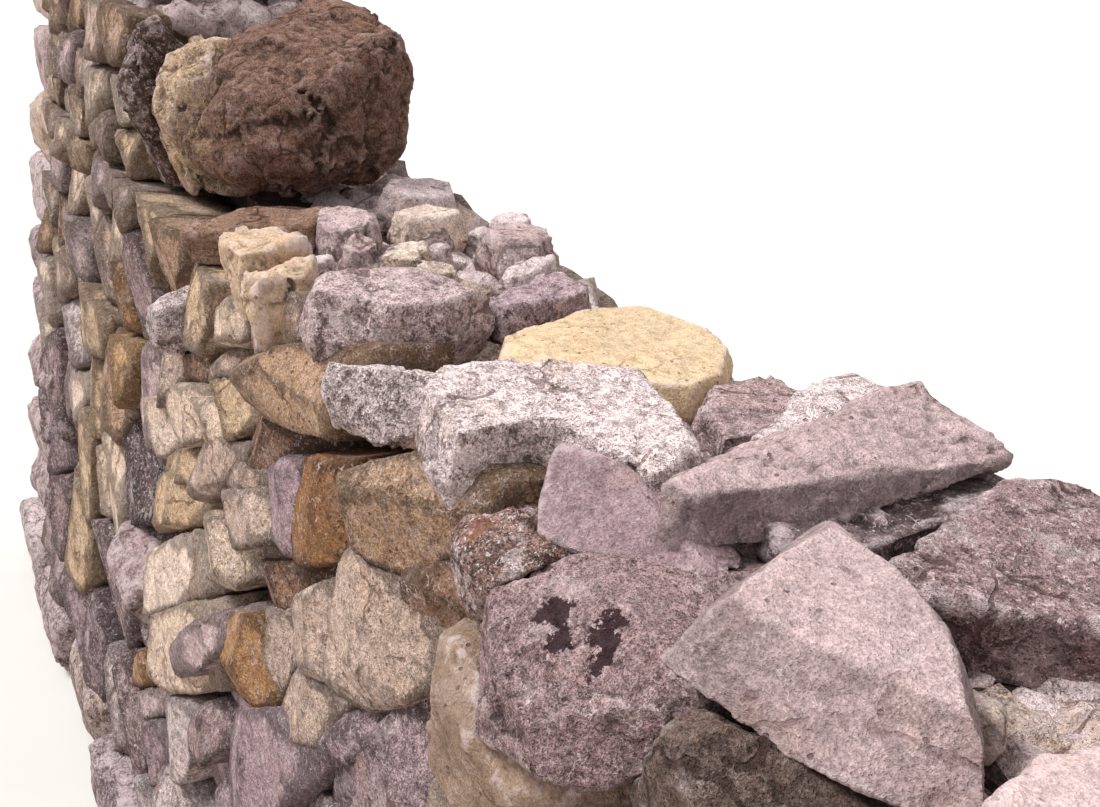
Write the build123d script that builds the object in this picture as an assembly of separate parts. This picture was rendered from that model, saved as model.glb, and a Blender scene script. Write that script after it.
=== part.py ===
"""A dry stone wall: two battered faces of coursed rubble bound by through stones, hearting
between them, boulder footings below, and loose slabs laid along its top while it is rebuilt.

X runs along the wall, the photographed face looks towards -Y, and Z is up from the ground.
The origin is the middle of the wall's underside."""
import math
import os
import random

from build123d import *

# Driving sizes, millimetres
bay_length = 900.0
bay_count = 4
near_height = 1200.0
far_rise = 250.0
far_stretch_end = -760.0
top_width = 430.0
batter_run = 1.0
batter_rise = 6.0
footing_height = 150.0
footing_proud = 60.0
skin_depth = 140.0
head_length = 270.0
lower_course_height = 150.0
lower_courses = 3
upper_courses = 5
far_courses = 2
course_stagger = 55.0
bed_gap = 9.0
relief_min = 14.0
relief_max = 34.0
relief_sink = 7.0
relief_shrink = (0.62, 0.86)
relief_drift = 0.09
stone_ratio = 1.25
through_width = 190.0
through_height = 95.0
through_proud = 55.0
through_offset = 380.0
footing_stone_length = 330.0
footing_stone_gap = 16.0
cope_height = 120.0
cope_length = 205.0
cope_gap = 14.0
cope_overhang = 12.0
cover_height = 78.0
cover_length = 235.0
cover_gap = 20.0
cover_start = 1060.0
boulder_bed_sink = 6.0
seat_depth = 20.0
spare_height = 60.0
beyond_everything = 4000.0

# Worked out from them
batter = batter_run / batter_rise
lean = math.degrees(math.atan(batter))
half_length = bay_length * bay_count / 2
lift_line = footing_height + lower_courses * lower_course_height
far_height = near_height + far_rise
upper_course_height = (near_height - lift_line) / upper_courses
far_course_height = far_rise / far_courses
bay_lines = [-half_length + i * bay_length for i in range(bay_count + 1)]
bay_lines[0] += head_length
bay_lines[-1] -= head_length
FRONT, BACK = -1, 1


def half_width(z):
    """Half the wall's width at a height: the faces lean in evenly on both sides."""
    return top_width / 2 + (near_height - z) * batter


def levels():
    """The bed lines of the courses, from the top of the footing to the near wall head."""
    lower = [footing_height + i * lower_course_height for i in range(lower_courses)]
    upper = [lift_line + i * upper_course_height for i in range(upper_courses + 1)]
    return lower + upper


def shift(course):
    """Every other course runs past the bay line, so no joint runs straight up the wall."""
    return course_stagger if course % 2 else -course_stagger


def prism(section, x0, x1):
    """A length of the wall between x0 and x1 with a (y, z) section."""
    outline = Polyline(*[(x0, y, z) for y, z in section], close=True)
    return extrude(make_face(outline), amount=x1 - x0, dir=(1, 0, 0))


def course_strip(side, z0, z1, x0, x1):
    """One course of one face, skin_depth deep."""
    section = [
        (side * half_width(z0), z0),
        (side * half_width(z1), z1),
        (side * (half_width(z1) - skin_depth), z1),
        (side * (half_width(z0) - skin_depth), z0),
    ]
    return prism(section, x0, x1)


def full_strip(z0, z1, x0, x1):
    """One course of a wall head, right across the wall."""
    section = [
        (-half_width(z0), z0),
        (-half_width(z1), z1),
        (half_width(z1), z1),
        (half_width(z0), z0),
    ]
    return prism(section, x0, x1)


def face_plane(side, x, z):
    """A plane on the battered face, looking out of the wall."""
    tilt = math.radians(lean)
    return Plane(
        origin=(x, side * half_width(z), z),
        x_dir=(1, 0, 0),
        z_dir=(0, side * math.cos(tilt), math.sin(tilt)),
    )


def end_plane(end, y, z):
    """A plane on the upright end of a wall head, looking along the wall."""
    return Plane(origin=(end * half_length, y, z), x_dir=(0, end, 0), z_dir=(end, 0, 0))


def rough_outline(width, height, rng):
    """A five-sided face of a rubble stone inside its own share of the course."""
    w, h = width / 2, height / 2
    corners = [
        (-w * rng.uniform(0.86, 1.0), -h * rng.uniform(0.82, 1.0)),
        (w * rng.uniform(0.86, 1.0), -h * rng.uniform(0.82, 1.0)),
        (w * rng.uniform(0.9, 1.0), h * rng.uniform(0.25, 0.75)),
        (w * rng.uniform(0.2, 0.65), h * rng.uniform(0.88, 1.0)),
        (-w * rng.uniform(0.84, 1.0), h * rng.uniform(0.78, 1.0)),
    ]
    return corners


def faceted(rings):
    """A closed stone from rings of corners, each ring the same outline drawn in or out."""
    count = len(rings[0])
    faces = [Face(Wire.make_polygon(rings[0][::-1])), Face(Wire.make_polygon(rings[-1]))]
    for low, high in zip(rings, rings[1:]):
        for i in range(count):
            j = (i + 1) % count
            faces.append(Face(Wire.make_polygon([low[i], low[j], high[j], high[i]])))
    return Solid(Shell(faces))


def relief(plane, width, height, flip, rng):
    """The proud front of one stone, drawn in from its bed joints by its own amount."""
    proud = rng.uniform(relief_min, relief_max)
    shrink = rng.uniform(*relief_shrink)
    du = width * rng.uniform(-relief_drift, relief_drift)
    dv = height * rng.uniform(-relief_drift, relief_drift)
    outline = [(u, v * flip) for u, v in rough_outline(width, height, rng)]
    if flip < 0:
        outline.reverse()
    low = [plane.from_local_coords((u, v, -relief_sink)) for u, v in outline]
    high = [plane.from_local_coords((du + u * shrink, dv + v * shrink, proud)) for u, v in outline]
    return faceted([low, high])


def face_reliefs(side, z0, z1, x0, x1, rng, avoid=()):
    """The stone fronts along one course of a face, but none where a set stone takes the place."""
    height = z1 - z0
    count = max(1, round((x1 - x0) / (height * stone_ratio)))
    cuts = [x0 + (x1 - x0) * i / count for i in range(count + 1)]
    for i in range(1, count):
        cuts[i] += (x1 - x0) / count * rng.uniform(-0.24, 0.24)
    stones = []
    for left, right in zip(cuts, cuts[1:]):
        x, z = (left + right) / 2, (z0 + z1) / 2
        plane = face_plane(side, x, z)
        stone = relief(plane, right - left - bed_gap, height - bed_gap, -side, rng)
        taken = any(b.min.X < x < b.max.X and b.min.Z < z < b.max.Z for b in avoid)
        if not taken:
            stones.append(stone)
    return stones


def end_reliefs(end, z0, z1, count, rng):
    """The stone fronts across the end of a wall head."""
    low = half_width(z1) - bed_gap
    step = 2 * low / count
    stones = []
    for i in range(count):
        plane = end_plane(end, -low + (i + 0.5) * step, (z0 + z1) / 2)
        stones.append(relief(plane, step - bed_gap, z1 - z0 - bed_gap, 1, rng))
    return stones


def fused(pieces):
    """One mass of masonry from its courses and stone fronts."""
    return pieces[0].fuse(*pieces[1:])


def bay_face(side, bay, avoid=()):
    """The face of one bay, from the footing to the near wall head."""
    rng = random.Random(100 * bay + side + 7)
    beds = levels()
    pieces = []
    for course, (z0, z1) in enumerate(zip(beds, beds[1:])):
        x0 = bay_lines[bay] + shift(course)
        x1 = bay_lines[bay + 1] + shift(course)
        pieces.append(course_strip(side, z0, z1, x0, x1))
        pieces += face_reliefs(side, z0, z1, x0, x1, rng, avoid)
    return fused(pieces)


def far_face(side):
    """The raised face of the finished far stretch."""
    rng = random.Random(900 + side)
    pieces = []
    for course in range(far_courses):
        z0 = near_height + course * far_course_height
        z1 = z0 + far_course_height
        x0 = bay_lines[0] + shift(course)
        x1 = far_stretch_end - course * course_stagger
        pieces.append(course_strip(side, z0, z1, x0, x1))
        pieces += face_reliefs(side, z0, z1, x0, x1, rng)
    return fused(pieces)


def wall_head(end):
    """A wall end of big stones, each course bonded right across."""
    rng = random.Random(500 + end)
    beds = levels()
    if end < 0:
        beds = beds + [near_height + (i + 1) * far_course_height for i in range(far_courses)]
    line = bay_lines[0] if end < 0 else bay_lines[-1]
    courses_below = len(levels()) - 1
    pieces = []
    for index, (z0, z1) in enumerate(zip(beds, beds[1:])):
        course = index if index < courses_below else index - courses_below
        inner = line + shift(course)
        x0, x1 = sorted((inner, end * half_length))
        pieces.append(full_strip(z0, z1, x0, x1))
        for side in (FRONT, BACK):
            pieces += face_reliefs(side, z0, z1, x0, x1, rng)
        pieces += end_reliefs(end, z0, z1, 3 if course % 2 else 2, rng)
    return fused(pieces)


def hearting_mass():
    """The packed rubble between the two faces, from the ground to the near wall head."""
    beds = levels()
    pieces = []
    for course, (z0, z1) in enumerate(zip(beds, beds[1:])):
        low, high = half_width(z0) - skin_depth, half_width(z1) - skin_depth
        section = [(-low, z0), (-high, z1), (high, z1), (low, z0)]
        pieces.append(prism(section, bay_lines[0] + shift(course), bay_lines[-1] + shift(course)))
    base = half_width(footing_height) - skin_depth
    foot = [(-base, 0), (-base, footing_height), (base, footing_height), (base, 0)]
    pieces.append(prism(foot, -half_length, half_length))
    return fused(pieces)


def far_hearting():
    """The packed rubble inside the raised far stretch."""
    pieces = []
    for course in range(far_courses):
        z0 = near_height + course * far_course_height
        z1 = z0 + far_course_height
        low, high = half_width(z0) - skin_depth, half_width(z1) - skin_depth
        section = [(-low, z0), (-high, z1), (high, z1), (low, z0)]
        x1 = far_stretch_end - course * course_stagger
        pieces.append(prism(section, bay_lines[0] + shift(course), x1))
    return fused(pieces)


def centre_of(outline):
    """The middle of an outline's corners."""
    count = len(outline)
    return sum(u for u, _ in outline) / count, sum(v for _, v in outline) / count


def lofted_stone(outline, sections, plane=Plane.XY):
    """A stone from one outline, drawn in or out at each (depth, scale, shift u, shift v)."""
    cu, cv = centre_of(outline)
    following = outline[1:] + outline[:1]
    area = sum(u0 * v1 - u1 * v0 for (u0, v0), (u1, v1) in zip(outline, following))
    corners = outline if area > 0 else outline[::-1]
    rings = []
    for depth, scale, du, dv in sections:
        rings.append([
            plane.from_local_coords((cu + du + (u - cu) * scale, cv + dv + (v - cv) * scale, depth))
            for u, v in corners
        ])
    return faceted(rings)


def chip(stone, *cuts):
    """Knock off whatever lies beyond each (point, outward normal) plane in turn."""
    size = beyond_everything
    above = (Align.CENTER, Align.CENTER, Align.MIN)
    for point, normal in cuts:
        stone = stone - Plane(origin=point, z_dir=normal) * Box(size, size, size, align=above)
    return stone


def laid_stone(outline, low, high, slope=(0.0, 0.0), foot=0.86, crown=0.9):
    """A stone laid on its bed: flat underside, fuller belly, cleft top with its own slope."""
    cx, cy = centre_of(outline)
    rise = high - low
    belly = low + rise * 0.45
    top_scale = 1.0 - (1.0 - crown) * (high + spare_height - belly) / (high - belly)
    sections = [
        (low, foot, 0, 0), (belly, 1.0, 0, 0), (high + spare_height, max(top_scale, 0.3), 0, 0),
    ]
    stone = lofted_stone(outline, sections)
    return chip(stone, ((cx, cy, high), (-slope[0], -slope[1], 1.0)))


face_frame = Plane(origin=(0, 0, 0), x_dir=(1, 0, 0), z_dir=(0, -1, 0))


def set_stone(outline, proud, depth, bulge=1.0, waist=0.8):
    """A stone built into the front face: its outline is in (x, z), its length goes into the wall."""
    _, z = centre_of(outline)
    face = half_width(z)
    sections = [
        (face - depth, 0.7, 0, 0),
        (face - seat_depth, 1.0, 0, 0),
        (face + proud * 0.45, 0.93 * bulge, 0, 0),
        (face + proud, waist * 0.72, 0, 0),
    ]
    return lofted_stone(outline, sections, face_frame)


# Stones set in the front face near the wall head, each a (x, z) outline
head_z = near_height


def set_stones():
    """The big stones of the top course at the near end of the photographed face."""
    z = head_z
    return {
        "patched_boulder": chip(
            set_stone(
                [
                    (472, z - 44), (510, z - 80), (580, z - 54), (624, z - 38), (654, z - 4),
                    (654, z + 46), (566, z + 52), (496, z + 40), (464, z + 6),
                ],
                58, 150, 1.02, 0.94,
            ),
            ((478, -240, z + 10), (-0.5, -0.86, 0.1)),
            ((540, -222, z + 36), (0.05, -0.55, 0.83)),
            ((620, -240, z + 6), (0.6, -0.74, 0.3)),
        ),
        "cream_boulder": set_stone(
            [
                (404, z - 186), (585, z - 190), (614, z - 108), (602, z - 48), (450, z - 34),
                (414, z - 48),
            ],
            44, 130,
        ),
        "speckled_stone": set_stone(
            [
                (384, z - 22), (418, z - 38), (455, z - 44), (486, z), (498, z + 30),
                (470, z + 40), (400, z + 30), (377, z + 8),
            ],
            24, 110,
        ),
        "mossy_stone": set_stone(
            [
                (640, z - 112), (768, z - 116), (790, z - 8), (752, z + 60), (690, z + 60),
                (648, z + 38), (630, z - 30),
            ],
            26, 150,
        ),
        "lichened_boulder": set_stone(
            [
                (-432, z - 138), (-402, z - 150), (-366, z - 134), (-352, z - 100),
                (-362, z - 66), (-396, z - 54), (-430, z - 68), (-444, z - 104),
            ],
            46, 120, 1.0, 0.88,
        ),
    }


def top_stones():
    """The stones laid on the near wall head, the lowest first, each a (x, y) outline."""
    z = head_z
    return {
        "rough_block": laid_stone(
            [
                (125, -195), (165, -240), (240, -232), (256, -190), (250, -128), (215, -105),
                (140, -120),
            ],
            z, z + 66, (-0.05, 0.05),
        ),
        "lichened_slab": laid_stone(
            [
                (-12, -150), (8, -212), (72, -220), (112, -170), (126, -85), (105, -35),
                (15, -20), (-18, -80),
            ],
            z, z + 84, (-0.08, -0.05),
        ),
        "grey_wedge": laid_stone(
            [
                (70, -30), (35, 30), (12, 66), (28, 94), (92, 96), (112, 76), (102, 30),
                (104, -28),
            ],
            z, z + 52, (0.05, 0.1),
        ),
        "yellow_slab": laid_stone(
            [
                (215, -100), (135, -48), (118, 10), (104, 70), (122, 140), (190, 158),
                (270, 142), (322, 90), (336, 45), (292, -10), (270, -70),
            ],
            z, z + 42, (0.03, -0.02), 0.9, 0.94,
        ),
        "long_pale_block": laid_stone(
            [
                (262, -180), (300, -216), (380, -224), (388, -160), (410, -142), (504, -122),
                (490, -72), (412, -32), (352, -28), (290, -85),
            ],
            z, z + 86, (-0.04, 0.02), 0.9, 0.9,
        ),
        "ochre_grey_block": laid_stone(
            [(330, 62), (346, 130), (400, 112), (440, 48), (428, -8), (365, 20)],
            z, z + 48, (0.1, 0.05),
        ),
        "pale_cap_stone": laid_stone(
            [(446, 0), (415, 74), (392, 124), (400, 168), (455, 180), (488, 100), (484, 10)],
            z, z + 62, (0.0, 0.05),
        ),
        "key_block": chip(
            laid_stone(
                [
                    (422, -160), (436, -204), (494, -206), (552, -172), (596, -136),
                    (588, -100), (545, -85), (500, -104),
                ],
                z, z + 86, (-0.04, 0.1), 0.97,
            ),
            ((443, -165, z + 84), (0.42, -0.62, 0.66)),
        ),
        "under_slab": laid_stone(
            [
                (540, -70), (525, 60), (545, 140), (590, 150), (606, 60), (603, -40),
                (588, -80),
            ],
            z, z + 56, (0.0, 0.0), 0.9, 0.96,
        ),
        "long_slab": chip(
            laid_stone(
                [
                    (546, -158), (528, -120), (526, -40), (528, 40), (508, 116), (526, 142),
                    (556, 128), (610, 116), (596, 30), (594, -60), (596, -135), (582, -158),
                ],
                z + 56, z + 106, (0.02, 0.0), 0.8, 0.95,
            ),
            ((546, -134, z + 98), (0.05, -0.78, 0.62)),
            ((584, 40, z + 97), (0.72, 0.15, 0.68)),
            ((592, -20, z + 74), (0.62, -0.12, -0.77)),
        ),
        "side_slab": laid_stone(
            [
                (620, -42), (610, 20), (598, 108), (606, 150), (650, 170), (760, 190),
                (815, 90), (800, -10), (757, -40), (708, -34), (660, -36),
            ],
            z, z + 64, (-0.09, 0.04), 0.86, 0.95,
        ),
        "pointed_slab": chip(
            laid_stone(
                [
                    (636, -242), (632, -188), (617, -130), (612, -92), (630, -78), (686, -80),
                    (736, -100), (788, -140), (812, -184), (768, -200), (694, -226),
                ],
                z + 46, z + 98, (-0.04, 0.03), 0.84, 0.94,
            ),
            ((660, -184, z + 97), (0.44, -0.5, 0.75)),
            ((690, -224, z + 74), (0.18, -0.88, 0.44)),
        ),
        "near_slab": laid_stone(
            [
                (800, -205), (786, -105), (800, -60), (905, -45), (1040, -90), (1050, -200),
                (940, -240),
            ],
            z, z + 86, (0.05, 0.05), 0.88, 0.92,
        ),
        "brown_slab": laid_stone(
            [
                (-470, -150), (-440, -215), (-345, -238), (-312, -245), (-290, -215),
                (-262, -96), (-300, -40), (-420, -40),
            ],
            z, z + 44, (0.0, 0.06), 0.84, 0.95,
        ),
    }


def cream_edge_stones():
    """Two fresh cream stones on the front edge of the wall head, beside the open hearting."""
    z = head_z
    return [
        laid_stone(
            [(-186, -232), (-96, -238), (-82, -206), (-88, -158), (-176, -162)],
            z, z + 82, (0.05, 0.1),
        ),
        laid_stone([(-72, -238), (-28, -236), (-24, -176), (-66, -160)], z, z + 74, (0.0, 0.15)),
    ]


def boulder_on_slab(bed):
    """The dark boulder left on the brown slab, its foot narrower than its belly."""
    outline = [
        (-590, -150), (-480, -180), (-385, -160), (-335, -90), (-335, 20),
        (-400, 120), (-520, 165), (-640, 140), (-690, 40), (-640, -60),
    ]
    sections = [
        (bed, 0.62, -14, -8), (bed + 52, 0.94, -14, -12), (bed + 120, 1.0, 0, 0),
        (bed + 190, 0.92, -6, 6), (bed + 232, 0.62, -20, 4),
    ]
    return chip(
        lofted_stone(outline, sections),
        ((-470, -40, bed + 204), (0.2, -0.06, 0.98)),
        ((-352, -60, bed + 165), (0.78, -0.3, 0.55)),
        ((-470, -165, bed + 168), (0.1, -0.82, 0.56)),
        ((-380, -138, bed + 100), (0.72, -0.66, -0.2)),
        ((-600, -60, bed + 190), (-0.6, -0.4, 0.69)),
    )


def stood_on_edge(outline, thickness, lean_out, x):
    """A slab stood on edge across the wall: its outline is in (y, z), from its foot upward."""
    frame = Plane(origin=(x, 0, 0), x_dir=(0, 1, 0), z_dir=(1, 0, 0))
    sections = [
        (-thickness / 2, 0.86, 0, 0), (-thickness * 0.2, 1.0, 0, 0),
        (thickness * 0.25, 0.98, 0, 0), (thickness / 2, 0.84, 0, lean_out),
    ]
    return lofted_stone(outline, sections, frame)


def upright_stones():
    """The tan slab and the dark slab stood on edge between the boulder and the far stretch."""
    z = head_z
    sunk = 30.0
    tan = stood_on_edge(
        [
            (-130, z - sunk), (-60, z - sunk), (-50, z + 140), (-62, z + 230), (-128, z + 240),
            (-182, z + 210), (-196, z + 120), (-172, z + 50),
        ],
        76, 0, -650,
    )
    dark = stood_on_edge(
        [
            (-156, z - sunk), (-70, z - sunk), (-90, z + 150), (-148, z + 252),
            (-186, z + 240), (-214, z + 150), (-198, z + 60),
        ],
        54, 0, -722,
    )
    bed = ((0, 0, z), (0, 0, -1))
    return {"tan_upright": chip(tan, bed), "leaning_slab": chip(dark, bed)}


def loose_rubble():
    """Small hearting stones left open to view on the wall head, and a pinning by the pointed slab."""
    rng = random.Random(41)
    z = head_z
    spots = [
        (-262, -52, 60, 44, 55), (-236, -130, 46, 26, 44), (-178, -66, 30, 28, 50),
        (-335, 84, 44, 66, 62), (-226, 48, 52, 54, 60), (-132, -28, 34, 38, 48),
        (-166, -122, 24, 22, 38), (-98, 104, 58, 56, 62), (-22, 78, 22, 44, 46),
        (-152, 28, 14, 16, 36), (-82, -12, 24, 34, 42), (-190, 150, 36, 30, 48),
        (722, -62, 26, 18, 34),
    ]
    stones = []
    for x, y, half_x, half_y, rise in spots:
        outline = []
        for k in range(7):
            angle = (k + rng.uniform(-0.22, 0.22)) * math.tau / 7
            outline.append((x + math.cos(angle) * half_x, y + math.sin(angle) * half_y))
        slope = (rng.uniform(-0.25, 0.25), rng.uniform(-0.25, 0.25))
        stones.append(laid_stone(outline, z, z + rise, slope, 0.84, 0.8))
    return stones


def row_of_stones(x0, x1, z, length, gap, height, half, seed, slope_reach=0.08):
    """Stones laid side by side across the wall along a wall head."""
    rng = random.Random(seed)
    count = max(1, round((x1 - x0) / length))
    step = (x1 - x0) / count
    stones = []
    for i in range(count):
        left = x0 + i * step + gap / 2
        right = left + step - gap
        outline = [
            (left + rng.uniform(0, 12), -half * rng.uniform(0.86, 1.0)),
            (right - rng.uniform(0, 12), -half * rng.uniform(0.9, 1.0)),
            (right - rng.uniform(0, 5), -half * 0.1),
            (right - rng.uniform(0, 18), half * rng.uniform(0.86, 1.0)),
            (left + rng.uniform(0, 18), half * rng.uniform(0.9, 1.0)),
            (left, half * rng.uniform(-0.2, 0.2)),
        ]
        slope = (rng.uniform(-slope_reach, slope_reach), rng.uniform(-slope_reach, slope_reach))
        stones.append(laid_stone(outline, z, z + height * rng.uniform(0.8, 1.0), slope, 0.92, 0.9))
    return stones


def footing_stones(side):
    """Weathered boulders along the foot, standing out past the face above."""
    rng = random.Random(300 + side)
    count = max(1, round(2 * half_length / footing_stone_length))
    step = 2 * half_length / count
    inner = half_width(footing_height) - skin_depth
    stones = []
    for i in range(count):
        left = -half_length + i * step + footing_stone_gap / 2
        right = left + step - footing_stone_gap
        outer = half_width(footing_height) + footing_proud * rng.uniform(0.45, 1.0)
        outline = [
            (left, side * inner),
            (right, side * inner),
            (right, side * (outer - 34 * rng.uniform(0.4, 1.2))),
            (right - step * rng.uniform(0.16, 0.3), side * outer),
            (left + step * rng.uniform(0.16, 0.3), side * outer * 0.995),
            (left, side * (outer - 34 * rng.uniform(0.4, 1.2))),
        ]
        sections = [
            (0, 0.97, 0, 0), (footing_height * 0.5, 1.0, 0, 0), (footing_height, 0.95, 0, 0),
        ]
        block = lofted_stone(outline, sections)
        keep = Box(
            step - footing_stone_gap, 2 * (outer - inner), footing_height,
            align=(Align.MIN, Align.CENTER, Align.MIN),
        )
        bed = Pos(left, side * outer, 0) * keep
        stones.append(block & bed)
    return stones


def through_row():
    """One long stone right across the wall in each bay, at the lift line."""
    reach = half_width(lift_line) + through_proud
    stones = []
    for bay in range(bay_count):
        x = -half_length + bay * bay_length + through_offset
        outline = [
            (x - through_width / 2, -reach), (x + through_width * 0.42, -reach - 8),
            (x + through_width / 2, -reach + 30), (x + through_width * 0.48, reach - 12),
            (x + through_width * 0.3, reach + 6), (x - through_width * 0.46, reach),
        ]
        sections = [
            (lift_line, 0.96, 0, 0), (lift_line + through_height * 0.5, 1.0, 0, 0),
            (lift_line + through_height, 0.95, 0, 0),
        ]
        stones.append(lofted_stone(outline, sections))
    return stones


def clear_of(shape, others):
    """Cut a piece so that it beds against the pieces already laid."""
    box = shape.bounding_box()
    near = []
    for other in others:
        ob = other.bounding_box()
        apart = (
            ob.min.X > box.max.X or ob.max.X < box.min.X or ob.min.Y > box.max.Y
            or ob.max.Y < box.min.Y or ob.min.Z > box.max.Z or ob.max.Z < box.min.Z
        )
        if not apart:
            near.append(other)
    return shape - near if near else shape


def biggest(shape):
    """The main body of a cut stone, without the slivers of the cut."""
    return max(shape.solids(), key=lambda s: s.volume)


def build():
    parts = {}
    laid = []

    def lay(name, stone):
        parts[name] = biggest(clear_of(stone, laid))
        laid.append(parts[name])

    def lay_row(name, stones):
        placed = []
        for stone in stones:
            placed.append(biggest(clear_of(stone, laid + placed)))
        parts[name] = Compound(children=placed)
        laid.extend(placed)

    for name, stone in set_stones().items():
        lay(name, stone)
    set_boxes = [stone.bounding_box() for stone in laid]
    throughs = through_row()
    bedded = laid + throughs
    for name, stone in top_stones().items():
        lay(name, stone)
    lay("top_boulder", boulder_on_slab(parts["brown_slab"].bounding_box().max.Z - boulder_bed_sink))
    for name, stone in upright_stones().items():
        lay(name, stone)
    lay_row("cream_edge_stones", cream_edge_stones())
    lay_row("hearting_stones", loose_rubble())

    parts["front_footings"] = Compound(children=[biggest(s) for s in footing_stones(FRONT)])
    parts["back_footings"] = Compound(children=[biggest(s) for s in footing_stones(BACK)])
    parts["through_stones"] = Compound(children=throughs)

    for bay in range(bay_count):
        parts[f"front_bay_{bay + 1}"] = clear_of(bay_face(FRONT, bay, set_boxes), bedded)
        parts[f"back_bay_{bay + 1}"] = clear_of(bay_face(BACK, bay), bedded)
    parts["hearting"] = clear_of(hearting_mass(), bedded)
    parts["near_head"] = clear_of(wall_head(1), bedded)
    parts["far_head"] = clear_of(wall_head(-1), bedded)
    parts["front_far_lift"] = clear_of(far_face(FRONT), laid)
    parts["back_far_lift"] = clear_of(far_face(BACK), laid)
    parts["hearting_far_lift"] = clear_of(far_hearting(), laid)

    cope_half = half_width(far_height) + cope_overhang
    cope_end = far_stretch_end - course_stagger
    cope = row_of_stones(
        -half_length, cope_end, far_height, cope_length, cope_gap, cope_height, cope_half, 61,
    )
    parts["far_cope_stones"] = Compound(children=[biggest(s) for s in cope])
    cover_half = half_width(head_z)
    cover = row_of_stones(
        cover_start, half_length, head_z, cover_length, cover_gap, cover_height, cover_half, 62,
    )
    parts["near_cover_stones"] = Compound(children=[biggest(s) for s in cover])
    return parts


os.makedirs("parts", exist_ok=True)
for node, shape in build().items():
    export_step(shape, f"parts/{node}.step")
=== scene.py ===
# %% [markdown]
# # A dry stone wall, dressed stone by stone
# The wall is two leaning skins of rough limestone with small stones packed between
# them. Nothing but weight and good laying holds it. The solid model gives the masses,
# the big stones along the top and the true sizes. This script gives every stone its
# broken faces, its pits and its own colour. It starts by loading the solids, which
# stay where they are.

# %% Load the built frame
import math
from functools import partial

import bpy
import bmesh
import numpy as np
from mathutils import Matrix, Vector
from mathutils.geometry import convex_hull_2d


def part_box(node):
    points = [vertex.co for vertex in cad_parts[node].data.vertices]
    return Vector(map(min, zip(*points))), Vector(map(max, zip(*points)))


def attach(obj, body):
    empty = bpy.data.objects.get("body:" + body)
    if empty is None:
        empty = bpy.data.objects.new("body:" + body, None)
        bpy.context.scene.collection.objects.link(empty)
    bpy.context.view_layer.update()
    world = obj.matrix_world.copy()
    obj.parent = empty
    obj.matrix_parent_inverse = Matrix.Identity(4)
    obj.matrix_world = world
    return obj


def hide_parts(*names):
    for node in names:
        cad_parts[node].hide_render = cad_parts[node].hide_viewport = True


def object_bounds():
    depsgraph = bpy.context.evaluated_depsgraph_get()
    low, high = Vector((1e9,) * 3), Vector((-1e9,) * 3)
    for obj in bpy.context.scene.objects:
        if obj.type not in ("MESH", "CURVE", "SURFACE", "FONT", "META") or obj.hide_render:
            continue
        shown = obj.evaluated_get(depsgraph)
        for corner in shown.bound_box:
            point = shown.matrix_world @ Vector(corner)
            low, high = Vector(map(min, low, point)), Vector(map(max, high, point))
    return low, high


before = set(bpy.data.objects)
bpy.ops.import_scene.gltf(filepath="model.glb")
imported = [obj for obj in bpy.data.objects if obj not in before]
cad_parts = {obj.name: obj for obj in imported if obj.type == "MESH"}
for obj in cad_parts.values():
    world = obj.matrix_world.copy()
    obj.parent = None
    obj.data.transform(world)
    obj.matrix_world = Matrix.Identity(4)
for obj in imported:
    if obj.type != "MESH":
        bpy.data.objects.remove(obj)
cad_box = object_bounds()
print("nodes", len(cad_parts), "box", cad_box)

# %% [markdown]
# ## The camera, the floor and the light
# The picture was taken from just beyond the low end of the wall, a little above its
# top, looking down along it. The three angles and the place were found by fitting
# straight edges of the wall, so a stone whose outline is known in the picture can be
# put on the wall's face by following the ray through it. The sky was overcast: an even
# pale dome does most of the lighting, and one very wide lamp from above gives the
# stones their darker near sides.

# %% Camera
PICTURE = (1100, 807)
FOCAL = 1079.0
SENSOR_WIDTH = 36.0
CAMERA_PLACE = Vector((1.0, -0.523, 1.645))
LOOK_DOWN, LOOK_ALONG, LEAN = (math.radians(a) for a in (25.9, 31.9, 2.0))

level_way = Vector((-math.cos(LOOK_ALONG), math.sin(LOOK_ALONG), 0))
ahead = level_way * math.cos(LOOK_DOWN) - Vector((0, 0, math.sin(LOOK_DOWN)))
side = Vector((math.sin(LOOK_ALONG), math.cos(LOOK_ALONG), 0))
over = level_way * math.sin(LOOK_DOWN) + Vector((0, 0, math.cos(LOOK_DOWN)))
right = side * math.cos(LEAN) + over * math.sin(LEAN)
up = over * math.cos(LEAN) - side * math.sin(LEAN)


def placed(name, data):
    """A new object in the scene that shows a mesh, a lens or a lamp."""
    thing = bpy.data.objects.new(name, data)
    bpy.context.scene.collection.objects.link(thing)
    return thing


lens = bpy.data.cameras.new("picture_camera")
lens.sensor_fit = "HORIZONTAL"
lens.sensor_width = SENSOR_WIDTH
lens.lens = SENSOR_WIDTH * FOCAL / PICTURE[0]
lens.clip_start = 0.02
camera = placed("picture_camera", lens)
camera.matrix_world = Matrix.Translation(CAMERA_PLACE) @ Matrix(
    (right, up, -ahead)).transposed().to_4x4()
bpy.context.scene.camera = camera
print("camera", [round(v, 3) for v in camera.location])


def pixel_ray(px, py):
    """Direction in which the camera sees a pixel of the picture."""
    return (right * (px - PICTURE[0] / 2) - up * (py - PICTURE[1] / 2)
            + ahead * FOCAL).normalized()


# %% Node helpers
def add_node(tree, kind, links=(), **settings):
    """Adds a node, sets its properties, then links or sets its inputs in pairs."""
    node = tree.nodes.new(kind)
    for key, value in settings.items():
        setattr(node, key, value)
    for where, value in links:
        if isinstance(value, bpy.types.NodeSocket):
            tree.links.new(value, node.inputs[where])
        else:
            node.inputs[where].default_value = value
    return node


def sums(tree, operation, *values):
    """The result of a Math node."""
    node = add_node(tree, "ShaderNodeMath", enumerate(values), operation=operation)
    return node.outputs[0]


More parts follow.
